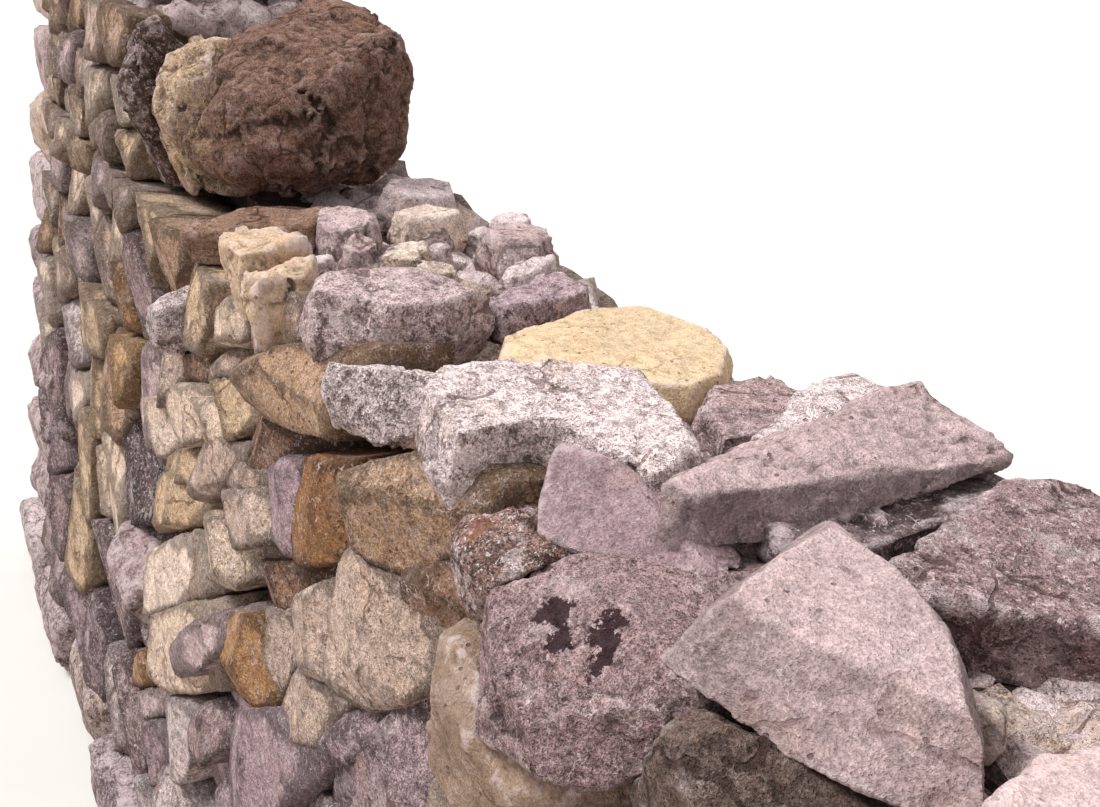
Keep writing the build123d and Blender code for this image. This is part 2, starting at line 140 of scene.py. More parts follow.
def spread(tree, value, low, high, to_low=0.0, to_high=1.0):
    """A smooth step between two values, remapped."""
    node = add_node(tree, "ShaderNodeMapRange", interpolation_type="SMOOTHSTEP", links=(
        ("Value", value), ("From Min", low), ("From Max", high),
        ("To Min", to_low), ("To Max", to_high)))
    return node.outputs[0]


def noise(tree, where, size, detail=3.0, rough=0.6):
    """Noise from 0 to 1 whose broadest lumps are about that size in metres."""
    node = add_node(tree, "ShaderNodeTexNoise", (
        ("Vector", where), ("Scale", 1.0 / size), ("Detail", detail), ("Roughness", rough)))
    return node.outputs[0]


def vector_math(tree, operation, *values):
    """A Vector Math node."""
    return add_node(tree, "ShaderNodeVectorMath", enumerate(values), operation=operation)


def emptied(owner):
    """The node tree of a material or a world, with nothing in it."""
    owner.use_nodes = True
    owner.node_tree.nodes.clear()
    return owner.node_tree


def seen_plainly(tree):
    """1 where the camera looks straight, by a mirror or through glass, and else 0."""
    seen = add_node(tree, "ShaderNodeLightPath").outputs
    return sums(tree, "MAXIMUM", sums(tree, "MAXIMUM", seen["Is Camera Ray"],
                                      seen["Is Glossy Ray"]), seen["Is Transmission Ray"])


def coated(tree, colour, roughness, shine, **more):
    """Ends a material's tree with one surface."""
    skin = add_node(tree, "ShaderNodeBsdfPrincipled", [
        ("Base Color", colour), ("Roughness", roughness), ("Specular IOR Level", shine),
        *more.items()])
    add_node(tree, "ShaderNodeOutputMaterial", (("Surface", skin.outputs[0]),))


def linear(red, green, blue):
    """An 8 bit display colour as the linear values that sockets take."""
    return tuple(((c / 255) / 12.92 if c <= 10 else ((c / 255 + 0.055) / 1.055) ** 2.4)
                 for c in (red, green, blue)) + (1.0,)


# %% Floor and light
FLOOR_REACH = 60.0
FLOOR_COLOUR = linear(226, 224, 219)
FLOOR_LIT_COLOUR = linear(190, 178, 168)
SKY_STRENGTH = 0.76
SKY_COLOUR = (1.0, 0.985, 1.0, 1.0)
LAMP_STRENGTH = 2.9
LAMP_WIDTH = 20
LAMP_WAY = Vector((0.40, 0.42, -0.82))

ground = bpy.data.meshes.new("floor")
ground.from_pydata([(x * FLOOR_REACH, y * FLOOR_REACH, 0)
                    for x, y in ((-1, -1), (1, -1), (1, 1), (-1, 1))], [], [(0, 1, 2, 3)])
floor = placed("floor", ground)
paint = bpy.data.materials.new("floor_pale")
tree = emptied(paint)
place = add_node(tree, "ShaderNodeTexCoord").outputs["Object"]
grain = spread(tree, noise(tree, place, 0.6), 0.3, 0.7, 0.97, 1.0)
seen_colour = add_node(tree, "ShaderNodeMix", (
    (0, seen_plainly(tree)), (6, FLOOR_LIT_COLOUR), (7, FLOOR_COLOUR)),
    data_type="RGBA").outputs[2]
coated(tree, vector_math(tree, "MULTIPLY", seen_colour, grain).outputs[0], 0.95, 0.1)
ground.materials.append(paint)

world = bpy.data.worlds.new("overcast")
tree = emptied(world)
strength = sums(tree, "MULTIPLY_ADD", seen_plainly(tree), 1.0 - SKY_STRENGTH, SKY_STRENGTH)
sky = add_node(tree, "ShaderNodeBackground", (("Color", SKY_COLOUR), ("Strength", strength)))
add_node(tree, "ShaderNodeOutputWorld", (("Surface", sky.outputs[0]),))
bpy.context.scene.world = world

sun = bpy.data.lights.new("wide_lamp", "SUN")
sun.energy = LAMP_STRENGTH
sun.angle = math.radians(LAMP_WIDTH)
lamp = placed("wide_lamp", sun)
lamp.rotation_euler = LAMP_WAY.to_track_quat("-Z", "Y").to_euler()
bpy.context.scene.view_settings.view_transform = "Standard"
print("sky", SKY_STRENGTH, "lamp", LAMP_STRENGTH)

# %% [markdown]
# ## The limestone finish
# All the stones are limestone. Fresh faces are cream, tan or ochre. Old faces have gone
# lavender grey, with dark pits and pale crusts of lichen. One finish can do them all:
# each stone carries its own colour, its age and a seed as values on its mesh, and the
# finish reads them, so a wall of many colours needs no picture. Noise at three scales
# mottles the colour, pits and flecks come with age, and painted shade makes hollows
# darker than ridges and sides and slopes darker than the tops.

# %% Stone finish
def stone_finish(name, grit=1.0, mottle=1.0, pits=1.0, flecks=1.0, crust=0.5, relief=1.0,
                 cracks=0.75, sides=1.04, patch=None, bands=None, spots=(), plain=None):
    """Limestone that reads each stone's colour, age and seed from its mesh.
    sides is how light the painted shade leaves the sides and slopes next to the tops.
    patch is (colour, size, low, high): blotches of a second colour.
    bands is (colour, spacing, way): thin bedding lines of a second colour.
    spots are (place, radius, colour, strength): single ragged marks.
    plain is one colour for a mesh that carries no values of its own."""
    finish = bpy.data.materials.new(name)
    tree = emptied(finish)
    vector = partial(vector_math, tree)

    def value_of(attribute, output):
        return add_node(tree, "ShaderNodeAttribute",
                        attribute_name=attribute).outputs[output]

    def tint(colour, factor, other):
        node = add_node(tree, "ShaderNodeMix", data_type="RGBA",
                        links=((0, factor), (6, colour), (7, other)))
        return node.outputs[2]

    def swing(value, amount):
        """A factor that swings round 1 as a noise swings round its middle."""
        return sums(tree, "MULTIPLY_ADD", sums(tree, "SUBTRACT", value, 0.5), amount, 1.0)

    def times(*values):
        """The product of two or more values."""
        product = values[0]
        for value in values[1:]:
            product = sums(tree, "MULTIPLY", product, value)
        return product

    place = add_node(tree, "ShaderNodeTexCoord").outputs["Object"]
    seed = add_node(tree, "ShaderNodeCombineXYZ", (
        (0, times(value_of("stone_seed", "Fac"), 3.7)),
        (1, value_of("stone_seed", "Fac")))).outputs[0]
    where = vector("ADD", place, seed).outputs[0]
    shifted = vector("ADD", where, (4.1, 1.3, 2.9)).outputs[0]
    own = value_of("stone_colour", "Color")
    if plain:
        own = add_node(tree, "ShaderNodeRGB").outputs[0]
        own.default_value = plain
    age = 0.6 if plain else value_of("stone_age", "Fac")
    ridge = value_of("ridge_height", "Fac")
    open_sky = spread(tree, value_of("faces_up", "Fac"), 0.60, 0.98)

    broad = noise(tree, where, 0.11, 3.0)
    mid = noise(tree, where, 0.030, 5.0, 0.7)
    fine = noise(tree, where, 0.008, 3.0, 0.8)
    grains = noise(tree, shifted, 0.0021, 2.0, 0.9)
    stain = noise(tree, shifted, 0.07, 4.0, 0.65)

    warm = vector("MULTIPLY", own, (1.0, 0.86, 0.70)).outputs[0]
    colour = tint(own, spread(tree, stain, 0.5, 0.72, 0.0, 0.45), warm)
    if patch:
        colour = tint(colour, spread(tree, noise(tree, shifted, patch[1], 5.0, 0.62),
                                     patch[2], patch[3]), patch[0])
    if bands:
        height = sums(tree, "MULTIPLY_ADD", noise(tree, where, 0.06, 3.0), bands[1] * 3,
                      vector("DOT_PRODUCT", place, bands[2]).outputs["Value"])
        line = sums(tree, "PINGPONG", height, bands[1])
        colour = tint(colour, spread(tree, line, bands[1] * 0.5, 0.0, 0.0, 0.3), bands[0])
    coarse = sums(tree, "MULTIPLY_ADD", age, 0.7 * grit, 0.55 * grit)
    light = times(spread(tree, broad, 0.25, 0.75, 1 - 0.14 * mottle, 1 + 0.14 * mottle),
                  swing(mid, sums(tree, "MULTIPLY_ADD", age, 1.1 * mottle, 0.6 * mottle)),
                  swing(fine, times(coarse, 2.4)),
                  swing(grains, times(coarse, 3.6)),
                  # painted shade: hollows, where ridge_height is low, are darkened
                  spread(tree, ridge, -0.9, 0.15, 0.42, 1.0),
                  # painted shade: sides and slopes darker than the tops, more so on older
                  # stones
                  spread(tree, open_sky, 0.0, 1.0,
                         sums(tree, "MULTIPLY_ADD", age, -0.36, sides), 1.05))
    light = sums(tree, "MINIMUM", sums(tree, "MAXIMUM", light, 0.22), 1.55)
    colour = vector("MULTIPLY", colour, light).outputs[0]

    dark = vector("MULTIPLY", own, (0.26, 0.20, 0.20)).outputs[0]
    crumbs = noise(tree, shifted, 0.014, 4.0, 0.85)
    pit_mask = times(spread(tree, crumbs, 0.54, 0.62),
                     sums(tree, "MULTIPLY_ADD", age, 0.9 * pits, 0.12 * pits),
                     spread(tree, open_sky, 0.0, 1.0, 1.15, 0.6))
    colour = tint(colour, sums(tree, "MINIMUM", pit_mask, 0.85), dark)
    holes = add_node(tree, "ShaderNodeTexVoronoi", (("Vector", where), ("Scale", 80.0)))
    hole_mask = times(spread(tree, holes.outputs["Distance"], 0.17, 0.10),
                      spread(tree, stain, 0.47, 0.53))
    colour = tint(colour, times(hole_mask, 0.8), dark)

    specks = noise(tree, where, 0.006, 3.0, 0.85)
    fleck_mask = times(spread(tree, specks, 0.57, 0.64),
                       sums(tree, "MULTIPLY_ADD", age, 0.75 * flecks, 0.16 * flecks))
    colour = tint(colour, sums(tree, "MINIMUM", fleck_mask, 0.9), linear(238, 222, 220))
    vein = sums(tree, "ABSOLUTE", sums(tree, "SUBTRACT", noise(tree, where, 0.034, 3.0, 0.65),
                                       0.5))
    scratch = times(spread(tree, vein, 0.009, 0.003),
                    spread(tree, mid, 0.50, 0.60, 0.0, 0.8 * flecks))
    colour = tint(colour, scratch, linear(240, 226, 220))
    edge = times(spread(tree, ridge, 0.2, 0.9), spread(tree, mid, 0.42, 0.58),
                 min(0.5, 0.1 + crust))
    crust_mask = times(spread(tree, noise(tree, where, 0.04, 4.0, 0.78), 0.54, 0.62),
                       age, crust)
    colour = tint(colour, sums(tree, "MAXIMUM", edge, crust_mask), linear(226, 208, 208))
    bent = add_node(tree, "ShaderNodeTexNoise", (
        ("Vector", shifted), ("Scale", 22.0), ("Detail", 2.0))).outputs["Color"]
    bent = vector("ADD", where, vector("MULTIPLY", bent, (0.05, 0.05, 0.05)).outputs[0])
    seam = add_node(tree, "ShaderNodeTexVoronoi", (
        ("Vector", bent.outputs[0]), ("Scale", 9.0)), feature="DISTANCE_TO_EDGE").outputs[0]
    crack = times(spread(tree, seam, 0.020, 0.008),
                  spread(tree, stain, 0.50, 0.56, 0.0, cracks))
    colour = tint(colour, crack, dark)
    for spot, radius, spot_colour, strength in spots:
        ragged = sums(tree, "SUBTRACT", noise(tree, where, 0.012, 4.0, 0.7), 0.5)
        away = sums(tree, "MULTIPLY_ADD", ragged, radius * 4.0,
                    vector("DISTANCE", place, spot).outputs["Value"])
        colour = tint(colour, spread(tree, away, radius, radius * 0.86, 0.0, strength),
                      spot_colour)

    def raised(strength, distance, height, *under):
        return add_node(tree, "ShaderNodeBump", [
            ("Strength", min(1.0, strength * relief)), ("Distance", distance),
            ("Height", height)] + [("Normal", bump.outputs[0]) for bump in under])

    soft = raised(0.8, 0.010, mid)
    pitted = sums(tree, "SUBTRACT", sums(tree, "MULTIPLY_ADD", crumbs, 1.2, fine),
                  times(sums(tree, "MAXIMUM", crack, sums(
                      tree, "MAXIMUM", pit_mask, hole_mask)), 0.9))
    sharp = raised(0.9, 0.0042, pitted, soft)
    gritty = raised(0.8, 0.0018, grains, sharp)
    coated(tree, colour, 0.93, 0.18, Normal=gritty.outputs[0])
    return finish


# %% Finishes of the wall
def seen_on(node, px, py):
    """The place on a solid that the camera sees at a pixel of the picture."""
    hit, spot, _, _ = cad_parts[node].ray_cast(CAMERA_PLACE, pixel_ray(px, py))
    print(node, px, py, "hit" if hit else "missed", [round(v, 3) for v in spot])
    return tuple(spot)


BLACK_LICHEN = linear(58, 38, 42)
RUST_STAIN = linear(150, 100, 80)
# Pixel in the picture, then radius in metres
BLACK_PATCHES = ((556, 612, 0.012), (562, 640, 0.010), (612, 618, 0.010),
                 (603, 640, 0.013), (600, 660, 0.010))
RUST_MARK = (478, 526)
black_patches = [(seen_on("patched_boulder", px, py), radius, BLACK_LICHEN, 0.95)
                 for px, py, radius in BLACK_PATCHES]
rust_marks = [(seen_on("speckled_stone", *RUST_MARK), 0.012, RUST_STAIN, 0.7)]

# sides sets how dark each finish paints the shade on its sides and slopes against its tops
mixed_stone = stone_finish("mixed_limestone")
rough_stone_finish = stone_finish("rough_old_limestone", grit=1.3, mottle=1.1, pits=1.3,
                                  flecks=1.3, crust=0.8, relief=1.2, sides=0.98)
smooth_stone = stone_finish("pale_weathered_limestone", grit=0.6, mottle=0.6, pits=0.45,
                            flecks=0.35, crust=0.35, relief=0.6, cracks=0.4)
slab_stone = stone_finish("washed_slab_limestone", grit=0.7, mottle=0.5, pits=0.5,
                          flecks=0.45, crust=0.30, relief=0.7, cracks=0.45, sides=0.74)
face_stone = stone_finish("broken_face_limestone", grit=1.1, mottle=0.55, pits=0.6,
                          flecks=0.7, crust=0.4, cracks=0.6)
dull_stone = stone_finish("dark_dull_limestone", grit=1.1, mottle=0.8, pits=0.5, flecks=0.25,
                          crust=0.1)
blotched_stone = stone_finish("blotched_limestone", grit=1.2, mottle=0.7, pits=0.8,
                              flecks=0.6, crust=0.35, spots=black_patches)
rust_marked = stone_finish("rust_marked_limestone", grit=1.3, pits=1.2, flecks=1.2,
                           crust=0.6, relief=1.2, spots=rust_marks)
banded_stone = stone_finish("bedded_limestone", pits=0.7, flecks=0.4, crust=0.2,
                            bands=(linear(58, 34, 26), 0.004, (0.1, 0.05, 1.0)))
ochre_patched = stone_finish("dark_brown_limestone", mottle=0.8, pits=0.8, flecks=0.10,
                             crust=0.04, relief=1.1,
                             patch=(linear(160, 128, 100), 0.15, 0.60, 0.66))
print("finishes", [m.name for m in bpy.data.materials if "limestone" in m.name])

# %% [markdown]
# ## Breaking and weathering a stone
# A plain faceted block looks like a model of a stone. A real one has worn edges where
# it was knocked, shallow scoops and ledges where it split, and a crumbly surface. These
# follow a rule that is the same for every stone, so a Geometry Nodes tree does it:
# it wears some edges by blending towards a blurred copy, tilts small facets, adds lumps
# and grain along the normal, and stores how far each point stands above its surroundings
# for the finish to read.

# %% Weathering tree
FOLD_WAYS = ((0.81, 0.33, 0.48), (-0.42, 0.72, 0.55), (0.35, -0.55, 0.76))
RIDGE_SCALE = 600.0  # brings heights of a millimetre or two to about 1


def geometry_tree(name, numbers, others):
    """A new Geometry Nodes tree and what it is given: numbers and other inputs."""
    tree = bpy.data.node_groups.new(name, "GeometryNodeTree")
    for way in ("OUTPUT", "INPUT"):
        tree.interface.new_socket("Geometry", in_out=way, socket_type="NodeSocketGeometry")
    for label, kind in [(number, "Float") for number in numbers] + others:
        tree.interface.new_socket(label, in_out="INPUT", socket_type="NodeSocket" + kind)
    return tree, tree.nodes.new("NodeGroupInput").outputs


def with_value(tree, geometry, name, value, domain="POINT"):
    """The geometry with a named value stored on it."""
    return add_node(tree, "GeometryNodeStoreNamedAttribute", (
        ("Geometry", geometry), ("Name", name), ("Value", value)),
        data_type="FLOAT", domain=domain).outputs[0]


def end_tree(tree, geometry, finish):
    """Makes every instance real, gives the result its finish and hands it out."""
    whole = add_node(tree, "GeometryNodeRealizeInstances", (("Geometry", geometry),))
    painted = add_node(tree, "GeometryNodeSetMaterial", (
        ("Geometry", whole.outputs[0]), ("Material", finish)))
    add_node(tree, "NodeGroupOutput", ((0, painted.outputs[0]),))


def run_tree(thing, tree, inputs):
    """The plain mesh that a Geometry Nodes tree makes of an object."""
    change = thing.modifiers.new("shape", "NODES")
    change.node_group = tree
    sockets = {s.name: s.identifier for s in tree.interface.items_tree
               if s.in_out == "INPUT"}
    for label, value in inputs:
        change[sockets[label]] = value
    return bpy.data.meshes.new_from_object(
        thing.evaluated_get(bpy.context.evaluated_depsgraph_get()))


def weathering_tree():
    """Geometry Nodes that turn a closed block into a weathered stone."""
    tree, given = geometry_tree("weather_stone", (
        "Seed", "Wear", "Facet size", "Facet tilt", "Lump size", "Lump height", "Grain size",
        "Grain height", "Ledge height", "Fold size", "Fold height"),
        [("Wear passes", "Int"), ("Finish", "Material")])
    vector = partial(vector_math, tree)

    def lumps(where, size, detail):
        node = add_node(tree, "ShaderNodeTexNoise", (
            ("Vector", where), ("Scale", sums(tree, "DIVIDE", 1.0, size)),
            ("Detail", detail), ("Roughness", 0.62)))
        return sums(tree, "SUBTRACT", node.outputs[0], 0.5)

    def blurred(value, steps):
        node = add_node(tree, "GeometryNodeBlurAttribute", data_type="FLOAT_VECTOR")
        socket = [s for s in node.inputs if s.type == "VECTOR" and s.enabled][0]
        tree.links.new(value, socket)
        if isinstance(steps, int):
            node.inputs["Iterations"].default_value = steps
        else:
            tree.links.new(steps, node.inputs["Iterations"])
        return [s for s in node.outputs if s.type == "VECTOR" and s.enabled][0]

    own_seed = add_node(tree, "GeometryNodeInputNamedAttribute", (("Name", "stone_seed"),),
                        data_type="FLOAT").outputs[0]
    seed = sums(tree, "ADD", given["Seed"], own_seed)
    place = tree.nodes.new("GeometryNodeInputPosition").outputs[0]
    outward = tree.nodes.new("GeometryNodeInputNormal").outputs[0]
    offset = add_node(tree, "ShaderNodeCombineXYZ", (
        (0, seed), (1, sums(tree, "MULTIPLY", seed, 2.3)), (2, 0.7))).outputs[0]
    where = vector("ADD", place, offset).outputs[0]

    knocks = spread(tree, lumps(where, given["Lump size"], 1.0), -0.12, 0.2)
    worn = add_node(tree, "ShaderNodeMix", data_type="VECTOR", links=(
        (0, sums(tree, "MULTIPLY", knocks, given["Wear"])),
        (4, place), (5, blurred(place, given["Wear passes"])))).outputs[1]

    waver = add_node(tree, "ShaderNodeTexNoise", (
        ("Vector", where), ("Scale", sums(tree, "DIVIDE", 2.2, given["Facet size"])),
        ("Detail", 3.0), ("Roughness", 0.6))).outputs["Color"]
    waver = vector("SCALE", vector("SUBTRACT", waver, (0.5, 0.5, 0.5)).outputs[0])
    tree.links.new(sums(tree, "MULTIPLY", given["Facet size"], 0.9), waver.inputs["Scale"])
    split_at = vector("ADD", where, waver.outputs[0]).outputs[0]
    cells = add_node(tree, "ShaderNodeTexVoronoi", (
        ("Vector", split_at), ("Scale", sums(tree, "DIVIDE", 1.0, given["Facet size"]))))
    tilt = vector("SUBTRACT", cells.outputs["Color"], (0.5, 0.5, 0.5)).outputs[0]
    away = vector("SUBTRACT", split_at, cells.outputs["Position"]).outputs[0]
    facets = sums(tree, "MULTIPLY", vector("DOT_PRODUCT", away, tilt).outputs["Value"],
                  given["Facet tilt"])
    step = add_node(tree, "ShaderNodeSeparateXYZ", ((0, tilt),)).outputs[0]
    facets = sums(tree, "MULTIPLY_ADD", step, given["Ledge height"], facets)
    folds = None
    for way in FOLD_WAYS:
        along = vector("DOT_PRODUCT", split_at, way).outputs["Value"]
        fold = sums(tree, "PINGPONG", along, given["Fold size"])
        folds = sums(tree, "ADD", fold, folds) if folds else fold
    folds = sums(tree, "SUBTRACT", sums(tree, "DIVIDE", folds, given["Fold size"]),
                 len(FOLD_WAYS) / 2)
    facets = sums(tree, "MULTIPLY_ADD", folds, given["Fold height"], facets)
    raised = sums(tree, "MULTIPLY_ADD", lumps(where, given["Lump size"], 2.0),
                  given["Lump height"], facets)
    raised = sums(tree, "MULTIPLY_ADD", lumps(where, given["Grain size"], 4.0),
                  given["Grain height"], raised)
    push = vector("SCALE", outward)
    tree.links.new(raised, push.inputs["Scale"])
    moved = vector("ADD", worn, push.outputs[0])

    shaped = add_node(tree, "GeometryNodeSetPosition", (
        ("Geometry", given["Geometry"]), ("Position", moved.outputs[0])))
    # ridge_height drives the finish's painted shade in hollows and its pale edges
    above = vector("SUBTRACT", place, blurred(place, 5)).outputs[0]
    ridge = vector("DOT_PRODUCT", above, outward).outputs["Value"]
    # faces_up, from the blurred normal, drives the finish's painted shade on sides and slopes
    upright = add_node(tree, "ShaderNodeSeparateXYZ", ((0, blurred(outward, 4)),)).outputs[2]
    stored = with_value(tree, shaped.outputs[0], "ridge_height",
                        sums(tree, "MULTIPLY", ridge, RIDGE_SCALE))
    stored = with_value(tree, stored, "faces_up", upright)
    soft = add_node(tree, "GeometryNodeSetShadeSmooth", (
        ("Geometry", stored), ("Shade Smooth", True)))
    end_tree(tree, soft.outputs[0], given["Finish"])
    return tree


weather = weathering_tree()
print("weathering inputs", sorted(s.name for s in weather.interface.items_tree
                                  if s.in_out == "INPUT"))

# %% [markdown]
# ## From block to finished piece
# A piece is one mesh for one or more nodes. The block goes in, the tree weathers it, the
# result is taken as a plain mesh and the modifier is gone. Points that the weathering
# pushed past the solid model's box are brought back to it, so the real size holds and
# the underside stays flat.

# %% Finishing helpers
triangle_total = 0


def add_values(mesh, colour, age, seed):
    """Writes the colour, age and seed that the finish reads. Each is one value for the
    whole mesh or a row of values, one per point."""
    count = len(mesh.vertices)
    mesh.attributes.new("stone_colour", "FLOAT_COLOR", "POINT").data.foreach_set(
        "color", np.resize(np.array(colour, np.float32), count * 4))
    for key, value in (("stone_age", age), ("stone_seed", seed)):
        mesh.attributes.new(key, "FLOAT", "POINT").data.foreach_set(
            "value", np.resize(np.array(value, np.float32), count))


def weathered(name, mesh, finish, slot, replaced, voxel=None, colour=(1, 1, 1, 1),
              age=0.5, seed=1.0, wear=0.35, passes=4, facet=0.06, tilt=0.10, lump=0.09,
              lump_height=0.006, grain=0.016, grain_height=0.0034, ledge=0.0010,
              fold=0.045, fold_height=0.0035, parts=()):
    """Weathers a block, makes it a plain piece and hands it to the frame.
    parts are (middle, colour, age, seed) of the separate stones in it."""
    global triangle_total
    block = placed(name + "_block", mesh)
    if voxel:
        remesh = block.modifiers.new("even_grid", "REMESH")
        remesh.mode = "VOXEL"
        remesh.voxel_size = voxel
    result = run_tree(block, weather, (
        ("Seed", seed), ("Wear", wear), ("Facet size", facet), ("Facet tilt", tilt),
        ("Lump size", lump), ("Lump height", lump_height), ("Grain size", grain),
        ("Grain height", grain_height), ("Ledge height", ledge), ("Fold size", fold),
        ("Fold height", fold_height), ("Wear passes", passes), ("Finish", finish)))
    bpy.data.objects.remove(block)
    result.name = name
    places = np.zeros(len(result.vertices) * 3, np.float32)
    result.vertices.foreach_get("co", places)
    places = np.clip(places.reshape(-1, 3), np.array(cad_box[0]), np.array(cad_box[1]))
    result.vertices.foreach_set("co", places.ravel())
    if parts:
        middles = np.array([part[0] for part in parts])
        nearest = ((places[:, None] - middles[None]) ** 2).sum(2).argmin(1)
        colour = np.array([part[1] for part in parts])[nearest].ravel()
        age, seed = (np.array([part[key] for part in parts])[nearest] for key in (2, 3))
    if "stone_colour" not in result.attributes:
        add_values(result, colour, age, seed)
    result.update()
    piece = placed(name, result)
    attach(piece, "root")
    if replaced:
        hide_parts(*replaced)
    count = sum(len(p.vertices) - 2 for p in result.polygons)
    triangle_total += count
    print(f"{name}: {count} triangles")


def cut_off(body, spot, way):
    """Takes away what lies beyond a plane and closes the stone again."""
    bmesh.ops.bisect_plane(body, geom=body.verts[:] + body.edges[:] + body.faces[:],
                           dist=1e-6, plane_co=spot, plane_no=way, clear_outer=True)
    bmesh.ops.holes_fill(body, edges=[e for e in body.edges if e.is_boundary], sides=0)


def on_level(px, py, height):
    """Where the camera sees a pixel at a height in mm above the near wall head."""
    ray = pixel_ray(px, py)
    return CAMERA_PLACE + ray * ((NEAR_LEVEL + height / 1000 - CAMERA_PLACE.z) / ray.z)


def node_copy(name):
    """A copy of a solid, split further where the picture shows it."""
    body = bmesh.new()
    body.from_mesh(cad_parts[name].data)
    bmesh.ops.remove_doubles(body, verts=body.verts, dist=1e-5)
    inside, chain, facets = SPLIT_STONES.get(name, ((0, 0), (), ()))
    if name in SLABS_OF_PLANES:
        spare, facets_of_spots = SLABS_OF_PLANES[name]
        low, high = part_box(name)
        if spare:
            sideways, down = spare
            low = low - Vector((sideways, sideways, down))
            high = high + Vector((sideways, sideways, 0))
            body.clear()
            bmesh.ops.create_cube(body, size=1.0, matrix=Matrix.Translation(
                (low + high) / 2) @ Matrix.Diagonal(high - low).to_4x4())
        for spots in facets_of_spots:
            a, b, c = (on_level(*spot) for spot in spots)
            way = (b - a).cross(c - a).normalized()
            cut_off(body, a, way if way.dot(a - (low + high) / 2) > 0 else -way)
    for a, b in zip(chain, chain[1:]):
        way = pixel_ray(*a).cross(pixel_ray(*b)).normalized()
        if way.dot(pixel_ray(*inside)) > 0:
            way = -way
        cut_off(body, CAMERA_PLACE, way)
    for pixel, inset, (a, b, c) in facets:
        way = (right * a + up * b - ahead * c).normalized()
        cut_off(body, Vector(seen_on(name, *pixel)) - way * inset, way)
    mesh = bpy.data.meshes.new("copy")
    body.to_mesh(mesh)
    body.free()
    return mesh


# %% [markdown]
# ## The big stones along the top
# These are the stones that the picture shows best, and each one is its own solid. Some
# are split further: planes through the camera trim them to their outline in the picture,
# and planes through three spots give them their broken faces. An even grid of small
# faces is then laid over each, finer the nearer it is to the camera. Colours are a plain
# name each, because the stones fall into a few kinds.

# %% Splits of the big stones
# A pixel inside the stone, a chain of pixels along its outline in the picture, and
# split faces as (pixel, depth in metres, (to the right, upwards, towards the camera))
SPLIT_STONES = {
    "pointed_slab": ((800, 660), ((905, 832), (631, 667), (646, 628), (734, 578), (787, 547),
                                  (817, 521), (838, 525), (897, 568), (944, 624), (987, 745),
                                  (990, 840)), ()),
    "long_slab": ((800, 480), ((659, 520), (659, 489), (672, 471), (769, 433), (869, 397),
                               (921, 375), (945, 385), (1014, 423), (1027, 446), (993, 476),
                               (828, 527), (734, 558), (699, 561), (670, 547), (659, 520)),
                  ()),
    "key_block": ((620, 520), ((720, 592), (646, 581), (541, 535), (541, 506), (550, 463),
                               (561, 443), (616, 460)), ()),
    "mossy_stone": ((700, 770), ((634, 664), (860, 796)), (
        ((690, 740), 0.004, (-0.2, 0.3, 0.93)),)),
    "side_slab": ((1000, 560), ((884, 562), (983, 482), (1100, 478)), (
        ((930, 620), 0.004, (-0.30, -0.45, 0.84)), ((1000, 560), 0.002, (0.0, 0.84, 0.54)))),
    "top_boulder": ((300, 120), ((185, 148), (197, 118), (232, 50), (280, -2), (300, -4),
                                 (400, 26), (418, 60), (420, 115), (410, 155), (370, 187),
                                 (300, 206), (240, 206), (203, 184), (185, 148)), (
        ((330, 110), 0.030, (0.05, 0.10, 1.0)), ((235, 150), 0.018, (-0.55, -0.25, 0.8)),
        ((250, 70), 0.030, (-0.5, 0.45, 0.74)), ((400, 130), 0.015, (0.75, -0.3, 0.6)),
        ((300, 178), 0.010, (0.05, -0.85, 0.5)), ((385, 50), 0.015, (0.5, 0.6, 0.6)),
        ((300, 50), 0.035, (-0.1, 0.7, 0.7)))),
    "tan_upright": ((190, 110), ((147, 150), (150, 100), (165, 50), (205, 34), (245, 40)), (
        ((185, 90), 0.010, (-0.2, 0.2, 0.95)), ((185, 90), 0.010, (0.3, -0.1, 0.95)))),
    "brown_slab": ((240, 225), ((176, 232), (240, 210), (320, 208)), (
        ((250, 240), 0.006, (0.0, -0.3, 0.95)),)),
    "lichened_slab": ((390, 310), ((292, 340), (318, 278), (330, 272), (430, 270),
                                   (494, 300)), (
        ((370, 330), 0.004, (-0.1, 0.0, 1.0)),)),
    "rough_block": ((365, 415), ((312, 460), (316, 366), (330, 362), (420, 372)), (
        ((350, 420), 0.004, (-0.2, 0.1, 0.97)),)),
}

# How far a slab made of planes alone may pass its solid sideways and down (None: the
# solid itself is split), then split faces as three spots each, a spot being (pixel,
# height in mm above the near wall head)
NEAR_LEVEL = 1.2
SLABS_OF_PLANES = {
    "pointed_slab": ((0.035, 0.0), (
        ((743, 602, 93), (819, 528, 96), (960, 680, 86)),
        ((636, 666, 56), (743, 602, 93), (725, 716, 52)),
        ((743, 602, 93), (890, 730, 83), (800, 762, 50)))),
    "long_slab": ((0.030, 0.013), (
        ((672, 476, 90), (921, 380, 106), (893, 494, 76)),
        ((672, 476, 92), (734, 535, 84), (690, 556, 60)),
        ((858, 474, 84), (965, 448, 92), (930, 492, 64)),
        ((940, 386, 106), (1024, 446, 90), (985, 470, 60)))),
    "key_block": (None, (
        ((659, 489, 70), (668, 547, 60), (734, 558, 40)),)),
}

